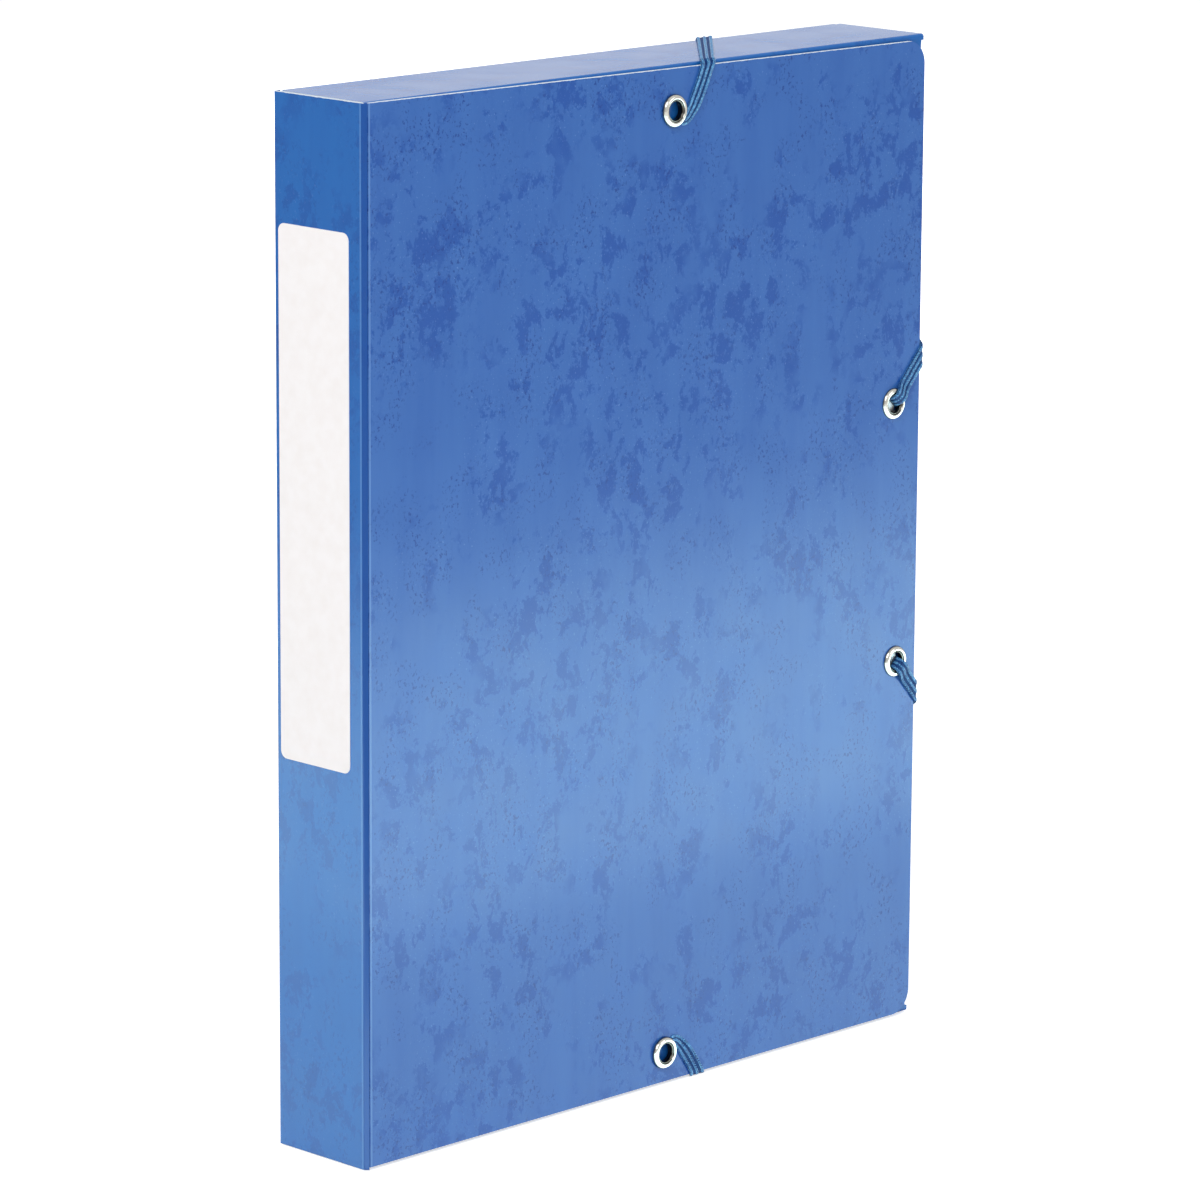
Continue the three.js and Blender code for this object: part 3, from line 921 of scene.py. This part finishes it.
        # Distances from the eyelet's centre with the underside's height
        rises = (
            (eyelet.flange + 3.4, 0.0),
            (eyelet.flange + 2.0, 0.0),
            (eyelet.flange + 1.0, eyelet.rise / 6),
            (eyelet.flange + 0.2, 0.6 * eyelet.rise),
            (crest + 0.35, eyelet.rise + 0.1),
            (crest - 0.95, eyelet.rise + 0.16),
            (eyelet.hole - 0.7, eyelet.rise - 0.08),
            (eyelet.hole - 1.55, 0.55 * eyelet.rise),
        )
        path = [(away, rise + half) for away, rise in rises]
        path += [(eyelet.hole - 2.15, -depth) for depth in (0.3, through / 2, through)]
        sections = []
        for number, (away, rise) in enumerate(path):
            last_away, last_rise = path[max(number - 1, 0)]
            next_away, next_rise = path[min(number + 1, len(path) - 1)]
            along = Vector((last_away - next_away, next_rise - last_rise)).normalized()
            share = min(max((eyelet.flange - away) / eyelet.hole, 0.0), 1.0)
            reach = square * ((self.width + (self.hole_width - self.width) * share) / 2)
            middle, tilt = last - travel * away, travel * -along.y
            sections.append(Section(middle, reach, tilt, self.lift + rise, along.x, half))
        return sections

    def sections(self) -> list[Section]:
        """Makes all the sections of the strap, from its clamped end to its end in the hole.

        Returns:
            The sections in order.
        """
        sizes = self.sizes
        end, side = self.folds(sizes.height), self.folds(sizes.width)
        across_end, across_side = Vector((1, 0)), Vector((0, -1))
        low, high = self.lift, self.lift + self.thickness
        wall_high = high if self.upper else low + self.squeezed
        edge = Vector((sizes.right - self.crossing.from_fore_edge, (end[0] + end[1]) / 2))
        fore_up = end[3] + self.crossing.from_end - self.bend
        far = Vector((edge.x + sizes.depth, (end[2] + end[3]) / 2))
        side_far = Vector((sizes.left + (side[0] + side[1]) / 2, fore_up - sizes.depth))
        side_near = Vector((sizes.left + (side[2] + side[3]) / 2, fore_up))
        from_fore_edge, from_end = self.hole.from_fore_edge, self.hole.from_end
        last = Vector((sizes.left + side[3] + from_fore_edge, end[3] + from_end))
        last -= Vector((self.bend, self.bend))
        sections = self._lead(Vector(self.clamp.point(sizes, True)), edge)
        over_top = FoldLine(end[0], end[1], across_end, True)
        over_back = FoldLine(end[2], end[3], across_end, True)
        sections += self._fold(sections[-1].middle, edge, far, over_top, low, wall_high)
        sections += self._fold(edge, far, side_far, over_back, low, wall_high)
        travel = (side_far - far).normalized()
        square = Vector((travel.y, -travel.x))
        for share in (0.25, 0.5, 0.75):
            turned = across_end.lerp(across_side, share).normalized()
            settled = turned.lerp(square, 0.5).normalized()
            middle = far.lerp(side_far, share)
            sections.append(self._flat(middle, settled, travel, low, high, self.width))
        for before, here, after, start, stop in (
            (far, side_far, side_near, side[0], side[1]),
            (side_far, side_near, last, side[2], side[3]),
        ):
            fold = FoldLine(sizes.left + start, sizes.left + stop, across_side, False)
            sections += self._fold(before, here, after, fold, low, high)
        return sections + self._rim(last, side_near)

    def _lead(self, clamp: Vector, edge: Vector) -> list[Section]:
        """Makes the first stretch, from under the clamping eyelet's rim up to the lid's edge.

        Args:
            clamp: the clamping eyelet's centre.
            edge: the strap's crossing of the lid's edge.

        Returns:
            The sections in order.
        """
        start, turn = clamp + Vector(self.lead_start), clamp + Vector(self.lead_turn)
        middle = turn.lerp(edge, 0.5) + Vector(self.lead_sag)
        corners = [start * 2 - turn, start, turn, middle, edge, edge * 2 - middle]
        spans, steps = len(corners) - 3, 24
        # Under the rim the strap is squeezed and narrow, and it has its full size by 0.6 of the way
        free_from, free_over = 0.28, 0.32
        high = self.lift + self.thickness
        seat = self.lift + self.squeezed - 0.05
        sections = []
        for step in range(steps):
            share = step / steps
            number = min(int(share * spans), spans - 1)
            t = share * spans - number
            p = corners[number : number + 4]
            slope = p[2] - p[0]
            bow = 2 * p[0] - 5 * p[1] + 4 * p[2] - p[3]
            twist = 3 * p[1] - p[0] - 3 * p[2] + p[3]
            point = p[1] + (slope * t + bow * t**2 + twist * t**3) / 2
            travel = (slope + 2 * t * bow + 3 * t**2 * twist).normalized()
            way = Vector((travel.y, -travel.x)).lerp(Vector((1, 0)), share**2).normalized()
            grown = min(max((share - free_from) / free_over, 0.0), 1.0)
            grown = grown * grown * (3 - 2 * grown)
            top = seat + (high - seat) * grown
            width = self.clamp_width + (self.width - self.clamp_width) * grown
            sections.append(self._flat(point, way, travel, self.lift * share, top, width))
        return sections

    def rows(self, step: float) -> list[Section]:
        """Resamples the sections at an even step along the strap and smooths them.

        Args:
            step: the distance between rows in millimetres.

        Returns:
            The rows in order.
        """
        coarse = self.sections()
        rows = [coarse[0]]
        for here, onward in zip(coarse, coarse[1:]):
            gap = math.hypot((onward.middle - here.middle).length, onward.rise - here.rise)
            count = max(1, round(gap / step))
            rows += [here.blended(onward, number / count) for number in range(1, count + 1)]
        for _ in range(4):
            mixed = [a.blended(c, 0.5) for a, c in zip(rows, rows[2:])]
            rows = [rows[0]] + [b.blended(m, 0.5) for b, m in zip(rows[1:], mixed)] + [rows[-1]]
        return rows

    def at(self, row: Section, share: float, level: float) -> Vector:
        """Gives a point of a row.

        Args:
            row: the row.
            share: the place across it, from -1 to 1.
            level: the height from its middle, in millimetres.

        Returns:
            The point in the row frame, in metres.
        """
        flat = row.middle + row.reach * share + row.tilt * level
        return self.folded(flat.x, flat.y, row.rise + row.lean * level)


@dataclass
class CornerElastic:
    """A flat braided elastic: a ribbed ground and, on it, the braid's yarns as single crowns."""

    name: str
    route: StrapRoute
    ground: Material
    yarn: Material
    ribs: int = 5
    row_step: float = 0.55
    groove: float = 0.1
    yarn_pitch: float = 0.72
    yarn_length: float = 1.15
    yarn_width: float = 0.42
    yarn_height: float = 0.26
    yarn_lean: float = math.radians(24)
    yarn_sink: float = 0.1
    yarn_spread: float = 0.96

    def _outline(self, half: float) -> list[tuple[float, float]]:
        """Draws the section's outline: ribs on both faces and round edges.

        Args:
            half: half the strap's thickness there.

        Returns:
            Places across from -1 to 1, with their heights, once round.
        """
        count, spread, shoulder = 6 * self.ribs, 0.98, 0.86
        yarn_bed = min(0.12, half * 0.3)
        inner = half - yarn_bed
        top = []
        for number in range(count + 1):
            share = -1 + 2 * number / count
            level = inner - self.groove * (0.5 - 0.25 * math.cos(math.pi * self.ribs * (share + 1)))
            past = max(0.0, abs(share) - shoulder) / (1 - shoulder)
            top.append((share * spread, level * math.sqrt(max(0.0, 1 - past**2))))
        return top + [(share, -level) for share, level in reversed(top[1:-1])]

    def band(self) -> Object:
        """Skins the strap's ground.

        Returns:
            The ground's object.
        """
        name, route = f"{self.name}_ground", self.route
        rows = route.rows(self.row_step)
        loops = [[route.at(row, share, level) for share, level in self._outline(row.half)] for row in rows]
        data = skin(name, loops, closed=False)
        for face in data.polygons:
            face.use_smooth = len(face.vertices) == 4
        obj = mesh_object(name, data)
        dress(obj, self.ground)
        return obj

    def _lay(self) -> Mesh:
        """Lays out the yarns' crowns as points with the turn of each.

        Returns:
            A mesh of points with the attribute yarn_turn.
        """
        route = self.route
        rows = route.rows(self.yarn_pitch)
        columns, aside, shortest = 2 * self.ribs, 0.05, 1e-6
        points: list[Vector] = []
        turns: list[tuple[float, float, float]] = []
        for row, onward in zip(rows, rows[1:]):
            level = max(row.half - self.yarn_sink, self.yarn_sink / 2)
            for face, column in product((level, -level), range(columns)):
                share = (-1 + (2 * column + 1) / columns) * self.yarn_spread
                stagger = 0.5 if (column // 2) % 2 else 0.0
                start = row.blended(onward, stagger)
                here = route.at(start, share, face)
                ahead = route.at(onward.blended(row, 1 - stagger) if stagger else onward, share, face)
                beside = route.at(start, share + aside, face)
                along = ahead - here
                if along.length < shortest:
                    continue
                along.normalize()
                side = beside - here
                side = (side - along * side.dot(along)).normalized()
                out = along.cross(side)
                lean = self.yarn_lean if column % 2 else -self.yarn_lean
                leaning = along * math.cos(lean) + side * math.sin(lean)
                basis = Matrix((leaning, out.cross(leaning), out)).transposed()
                points.append(here)
                turns.append(tuple(basis.to_euler()))
        mesh = bpy.data.meshes.new(f"{self.name}_lay")
        mesh.from_pydata(points, [], [])
        attribute = mesh.attributes.new("yarn_turn", "FLOAT_VECTOR", "POINT")
        for item, turn in zip(attribute.data, turns):
            item.vector = turn
        return mesh

    def _yarn_tree(self) -> Tree:
        """Builds the node tree that sets one yarn crown on each point.

        Returns:
            The geometry node tree.
        """
        tree = bpy.data.node_groups.new("braid_yarns", "GeometryNodeTree")
        tree.interface.new_socket("Lay", in_out="INPUT", socket_type="NodeSocketGeometry")
        for label in ("Yarn Length", "Yarn Width", "Yarn Height"):
            tree.interface.new_socket(label, in_out="INPUT", socket_type="NodeSocketFloat")
        tree.interface.new_socket("Yarn", in_out="INPUT", socket_type="NodeSocketMaterial")
        tree.interface.new_socket("Braid", in_out="OUTPUT", socket_type="NodeSocketGeometry")
        given = add_node(tree, "NodeGroupInput")
        sides = {0: given["Yarn Length"], 1: given["Yarn Width"], 2: given["Yarn Height"]}
        size = add_node(tree, "ShaderNodeCombineXYZ", sides)[0]
        ball = {"Segments": 6, "Rings": 4, "Radius": 0.5}
        crown = add_node(tree, "GeometryNodeMeshUVSphere", ball)[0]
        for change in ({"Rotation": (0.0, math.pi / 2, 0.0)}, {"Scale": size}):
            crown = add_node(tree, "GeometryNodeTransform", {"Geometry": crown, **change})[0]
        crown = add_node(tree, "GeometryNodeSetShadeSmooth", {"Geometry": crown})[0]
        turn = {"Name": "yarn_turn"}
        turn = add_node(tree, "GeometryNodeInputNamedAttribute", turn, data_type="FLOAT_VECTOR")[0]
        turn = add_node(tree, "FunctionNodeEulerToRotation", {0: turn})[0]
        plump = {2: 0.92, 3: 1.08, "Seed": 7}
        plump = add_node(tree, "FunctionNodeRandomValue", plump, data_type="FLOAT")[1]
        laid = {"Points": given["Lay"], "Instance": crown, "Rotation": turn, "Scale": plump}
        braid = add_node(tree, "GeometryNodeInstanceOnPoints", laid)[0]
        braid = add_node(tree, "GeometryNodeRealizeInstances", {0: braid})[0]
        dyed = {"Geometry": braid, "Material": given["Yarn"]}
        braid = add_node(tree, "GeometryNodeSetMaterial", dyed)[0]
        add_node(tree, "NodeGroupOutput", {0: braid})
        return tree

    def yarns(self) -> Object:
        """Sets the braid's yarns on the strap.

        Returns:
            The yarns' object, as one plain mesh.
        """
        obj = mesh_object(f"{self.name}_yarns", self._lay())
        modifier = obj.modifiers.new("braid", "NODES")
        modifier.node_group = self._yarn_tree()
        values = {
            "Yarn Length": self.yarn_length * MM,
            "Yarn Width": self.yarn_width * MM,
            "Yarn Height": self.yarn_height * MM,
            "Yarn": self.yarn,
        }
        for item in modifier.node_group.interface.items_tree:
            if item.item_type == "SOCKET" and item.in_out == "INPUT" and item.name in values:
                modifier[item.identifier] = values[item.name]
        bpy.context.view_layer.update()
        graph = bpy.context.evaluated_depsgraph_get()
        mesh = bpy.data.meshes.new_from_object(obj.evaluated_get(graph))
        obj.modifiers.clear()
        obj.data = mesh
        return obj

    def build(self, body: str, node: str, slot: str) -> None:
        """Builds the strap in place of its plain solid.

        Args:
            body: the body that it moves with.
            node: the plain solid that it stands for.
            slot: not used.
        """
        for piece in (self.band(), self.yarns()):
            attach(piece, body)
            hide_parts(node)
            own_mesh(piece)
            LOG.info("%s: %d faces", piece.name, len(piece.data.polygons))


@dataclass
class FoldedCard:
    """The folded body and its lid, cut from one sheet of mottled card."""

    nodes: dict
    sizes: FileSizes

    def _body_zones(self) -> tuple[EdgeZone, ...]:
        """Lists the body's cut edges.

        Returns:
            The zones in which its faces are cut edges.
        """
        s, slack, margin, beyond = self.sizes, 0.3, 1.0, 5.0
        inner, wall = s.left + s.card + s.edge_gap, s.card + s.edge_gap
        near, far, fore, top = s.front - margin, s.back + margin, s.right + margin, s.height + margin
        ends = ((-margin, wall - slack), (s.height - wall + slack, top))
        steps = ((wall - slack, wall + slack), (s.height - wall - slack, s.height - wall + slack))
        flaps = (inner, s.front, beyond), (s.right - beyond, s.front + beyond, s.height - beyond)
        return (
            EdgeZone(Face.UP, (s.left - margin, near, -margin), (s.left + s.card + 0.1, far, top)),
            EdgeZone(Face.ACROSS, (inner - slack, near, -margin), (inner + slack, far, top)),
            *(EdgeZone(Face.ACROSS, (s.right - slack, near, a), (fore, far, b)) for a, b in ends),
            *(EdgeZone(Face.UP, (s.right - beyond, near, a), (fore, far, b)) for a, b in steps),
            EdgeZone(Face.ACROSS, *flaps),
            EdgeZone(Face.UP, *flaps),
        )

    def _lid_zones(self) -> tuple[EdgeZone, ...]:
        """Lists the lid's cut edges.

        Returns:
            The zones in which its faces are cut edges.
        """
        s, margin, hinge_side, print_depth = self.sizes, 1.0, 5.0, 0.08
        low = (s.left + hinge_side, s.front + print_depth, -margin)
        high = (s.right + margin, s.front + s.card - print_depth, s.height + margin)
        return (EdgeZone(Face.ACROSS, low, high), EdgeZone(Face.UP, low, high))

    def build(self) -> None:
        """Dresses the body and the lid."""
        body = MottledCard(
            "marbled_pressboard_body",
            self.sizes,
            self._body_zones(),
            ground="1a65b2",
            cloud="1254a3",
            fleck="104691",
            pale="5f8fca",
            cloud_share=0.8,
            fleck_share=0.5,
            pale_share=0.15,
        )
        lid = MottledCard(
            "marbled_pressboard_lid",
            self.sizes,
            self._lid_zones(),
            burr_slope=-self.sizes.lid_top_drop / (self.sizes.width - 2 * self.sizes.crease),
        )
        for node, finish in (("folder_body", body), ("lid", lid)):
            dress(self.nodes[node], finish.build())
            LOG.info("%s dressed as %s", node, finish.name)


@dataclass
class RolledEyelet:
    """A turned eyelet: a domed flange outside, a barrel through the lid and a flange rolled behind.

    The barrel's lip is rolled out over the flange, so a fine seam runs round the dome.
    """

    node: str
    place: tuple[float, float]
    seat: float
    sizes: FileSizes
    eyelet: EyeletSizes
    seam_depth: float = 0.2
    seam_reach: float = 0.12
    segments: int = 72

    def _half_round(
        self, start: float, end: float, level: float, rise: float, steps: int
    ) -> list[tuple[float, float]]:
        """Draws half an oval from one radius to another.

        Args:
            start: the first radius.
            end: the last radius.
            level: the height of both ends over the lid.
            rise: the height of its crown over them.
            steps: the number of stretches.

        Returns:
            Radii with their heights.
        """
        middle, half = (start + end) / 2, (start - end) / 2
        angles = [math.pi * number / steps for number in range(steps + 1)]
        return [(middle + half * math.cos(angle), level + rise * math.sin(angle)) for angle in angles]

    def _profile(self) -> list[tuple[float, float]]:
        """Draws the eyelet's closed section.

        Returns:
            Radii with their heights over the lid.
        """
        eyelet, card = self.eyelet, self.sizes.card
        barrel = eyelet.hole + eyelet.wall
        rolled = self._half_round(eyelet.hole, eyelet.rolled_flange, -card, -eyelet.roll, 14)
        dome = []
        for radius, height in self._half_round(eyelet.flange, eyelet.hole, self.seat, eyelet.rise, 44):
            away = (radius - eyelet.seam) / self.seam_reach
            dome.append((radius, height - self.seam_depth * math.exp(-(away**2))))
        return rolled + [(barrel, -card), (barrel, self.seat)] + dome

    def build(self) -> None:
        """Turns the eyelet in place of its plain solid."""
        across, up = self.place
        loops = []
        for number in range(self.segments):
            turn = 2 * math.pi * number / self.segments
            loop = []
            for radius, height in self._profile():
                right, above = radius * math.cos(turn), radius * math.sin(turn)
                point = Vector((across + right, self.sizes.front - height, up + above))
                loop.append((point + CARD_ORIGIN_MM) * MM)
            loops.append(loop)
        data = skin(f"{self.node}_turned", loops, closed=True)
        data.shade_smooth()
        data.set_sharp_from_angle(angle=math.radians(50))
        obj = mesh_object(f"{self.node}_turned", data)
        dress(obj, PlatedBrass(f"nickel_plated_{self.node}", self.place, self.eyelet).build())
        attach(obj, "lid_panel")
        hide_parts(self.node)
        LOG.info("%s: %d faces", obj.name, len(data.polygons))


@dataclass
class Fittings:
    """The spine's label, the four eyelets and the crimped bars on the straps' ends."""

    nodes: dict
    sizes: FileSizes
    eyelet: EyeletSizes
    places: dict[str, tuple[float, float]]
    clamping: tuple[str, ...] = ("top_eyelet", "bottom_eyelet")
    clamped_seat: float = 0.42

    def build(self) -> None:
        """Dresses the label and the bars and turns the eyelets."""
        dress(self.nodes["spine_label"], UncoatedPaper().build())
        for node, place in self.places.items():
            seat = self.clamped_seat if node in self.clamping else 0.0
            RolledEyelet(node, place, seat, self.sizes, self.eyelet).build()
        steel = CrimpedSteel().build()
        for node in ("upper_end_bar", "lower_end_bar"):
            dress(self.nodes[node], steel)
            LOG.info("%s dressed in crimped steel", node)


class Rays(Enum):
    """What a light is seen by."""

    ALL = "all"
    MATTE = "matte"
    GLOSS = "gloss"


@dataclass(frozen=True)
class SoftBox:
    """A rectangular studio light. One that only gloss sees lies flat and has the table's cool tint."""

    name: str
    place: tuple[float, float, float]
    size: tuple[float, float]
    power: float
    rays: Rays = Rays.ALL
    towards: tuple[float, float, float] = (0, 0, 0.15)
    table_tint: tuple[float, float, float] = (0.66, 0.97, 1.0)

    def build(self) -> None:
        """Adds the light."""
        light = bpy.data.lights.new(self.name, "AREA")
        light.shape = "RECTANGLE"
        light.size, light.size_y = self.size
        light.energy = self.power
        obj = bpy.data.objects.new(self.name, light)
        bpy.context.scene.collection.objects.link(obj)
        obj.location = self.place
        way = Vector(self.towards) - Vector(self.place)
        obj.rotation_euler = way.to_track_quat("-Z", "Y").to_euler()
        if self.rays is Rays.GLOSS:
            obj.rotation_euler = (math.pi, 0.0, 0.0)
            light.color = self.table_tint
        obj.visible_camera = False
        obj.visible_diffuse = self.rays is not Rays.GLOSS
        obj.visible_glossy = self.rays is not Rays.MATTE


@dataclass
class Studio:
    """A plain white table and background, soft light, and the camera."""

    camera_place: tuple[float, float, float] = (-1.32086, -1.29962, 0.56442)
    heading: float = 45.35
    pitch: float = 12.37
    roll: float = 0.35
    lens: float = 178.6
    sky_light: float = 0.42
    table_glow: float = 0.62
    boxes: tuple[SoftBox, ...] = (
        SoftBox("left_key", (-1.7, -1.1, 1.9), (1.4, 1.4), 42),
        SoftBox("right_fill", (0.9, -2.2, 1.2), (1.2, 1.2), 9),
        SoftBox("top_light", (0.2, 0.1, 2.2), (1.6, 1.6), 4, towards=(0, 0, 0.0)),
        SoftBox("back_fill", (1.6, 1.9, 1.1), (1.3, 1.3), 24, Rays.MATTE),
        SoftBox("lid_bounce", (0.44, -0.395, 0.0003), (1.3, 0.37), 11, Rays.GLOSS),
        SoftBox("lid_near_bounce", (0.16, -0.1148, 0.0003), (0.8, 0.1904), 1.6, Rays.GLOSS),
        SoftBox("spine_bounce", (-0.475, 0.44, 0.0003), (0.32, 1.3), 7.2, Rays.GLOSS),
        SoftBox("spine_near_bounce", (-0.2209, 0.1, 0.0003), (0.1902, 0.6), 1.2, Rays.GLOSS),
    )

    def camera(self) -> None:
        """Adds the camera at the photograph's angle."""
        data = bpy.data.cameras.new("camera")
        data.lens = self.lens
        data.sensor_width = 36.0
        data.clip_end = 50.0
        obj = bpy.data.objects.new("camera", data)
        bpy.context.scene.collection.objects.link(obj)
        turn = (
            Matrix.Rotation(math.radians(-self.heading), 4, "Z")
            @ Matrix.Rotation(math.radians(90 - self.pitch), 4, "X")
            @ Matrix.Rotation(math.radians(self.roll), 4, "Z")
        )
        obj.matrix_world = Matrix.Translation(self.camera_place) @ turn
        bpy.context.scene.camera = obj

    def lights(self) -> None:
        """Adds the soft boxes and the sky."""
        for box in self.boxes:
            box.build()
        world = bpy.data.worlds.new("white_studio")
        bpy.context.scene.world = world
        world.use_nodes = True
        tree = world.node_tree
        tree.nodes.clear()
        levels = {"Value": seen_directly(tree), "To Min": self.sky_light, "To Max": 1.0}
        strength = add_node(tree, "ShaderNodeMapRange", levels)[0]
        sky = add_node(tree, "ShaderNodeBackground", {"Color": (1.0, 1.0, 1.0, 1.0), "Strength": strength})
        add_node(tree, "ShaderNodeOutputWorld", {0: sky[0]})

    def floor(self) -> None:
        """Adds the white table, which keeps the file's shadow."""
        mesh = bpy.data.meshes.new("floor")
        reach = 6.0
        corners = [(x * reach, y * reach, 0) for x, y in ((-1, -1), (1, -1), (1, 1), (-1, 1))]
        mesh.from_pydata(corners, [], [(0, 1, 2, 3)])
        obj = mesh_object("floor", mesh)
        material, tree = new_material("white_table")
        glow = chain(tree, seen_directly(tree), ("MULTIPLY", self.table_glow))
        shine = add_node(tree, "ShaderNodeEmission", {"Color": (1.0, 1.0, 1.0, 1.0), "Strength": glow})
        matte = add_node(tree, "ShaderNodeBsdfDiffuse", {"Color": (0.8, 0.8, 0.8, 1.0)})
        both = add_node(tree, "ShaderNodeAddShader", {0: shine[0], 1: matte[0]})
        add_node(tree, "ShaderNodeOutputMaterial", {0: both[0]})
        dress(obj, material)

    def build(self) -> None:
        """Builds the studio."""
        self.camera()
        self.lights()
        self.floor()
        bpy.context.scene.view_settings.view_transform = "Standard"
        LOG.info("studio with %d soft boxes", len(self.boxes))


def main() -> None:
    """Loads the frame and builds the studio and each sub-assembly."""
    logging.basicConfig(level=logging.INFO, format="%(message)s")
    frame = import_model()
    sizes, eyelet = FileSizes(), EyeletSizes()
    Studio().build()
    FoldedCard(frame["nodes"], sizes).build()
    top, upper = LidPlace(118.2, 14.2), LidPlace(13.4, 120.3)
    bottom, lower = LidPlace(119.1, 10.6), LidPlace(10.6, 122.7)
    places = {
        "top_eyelet": top.point(sizes, True),
        "upper_side_eyelet": upper.point(sizes, True),
        "lower_side_eyelet": lower.point(sizes, False),
        "bottom_eyelet": bottom.point(sizes, False),
    }
    Fittings(frame["nodes"], sizes, eyelet, places).build()
    ground, yarn = BraidGround().build(), BraidedYarn().build()
    upper_route = StrapRoute(sizes, eyelet, True, top, upper, LidPlace(103.0, 105.6))
    lower_route = StrapRoute(sizes, eyelet, False, bottom, lower, LidPlace(103.3, 110.7))
    for node, route in (("upper_elastic", upper_route), ("lower_elastic", lower_route)):
        CornerElastic(f"{node}_braid", route, ground, yarn).build("lid_panel", node, "braided_elastic")


if __name__ == "__main__":
    main()
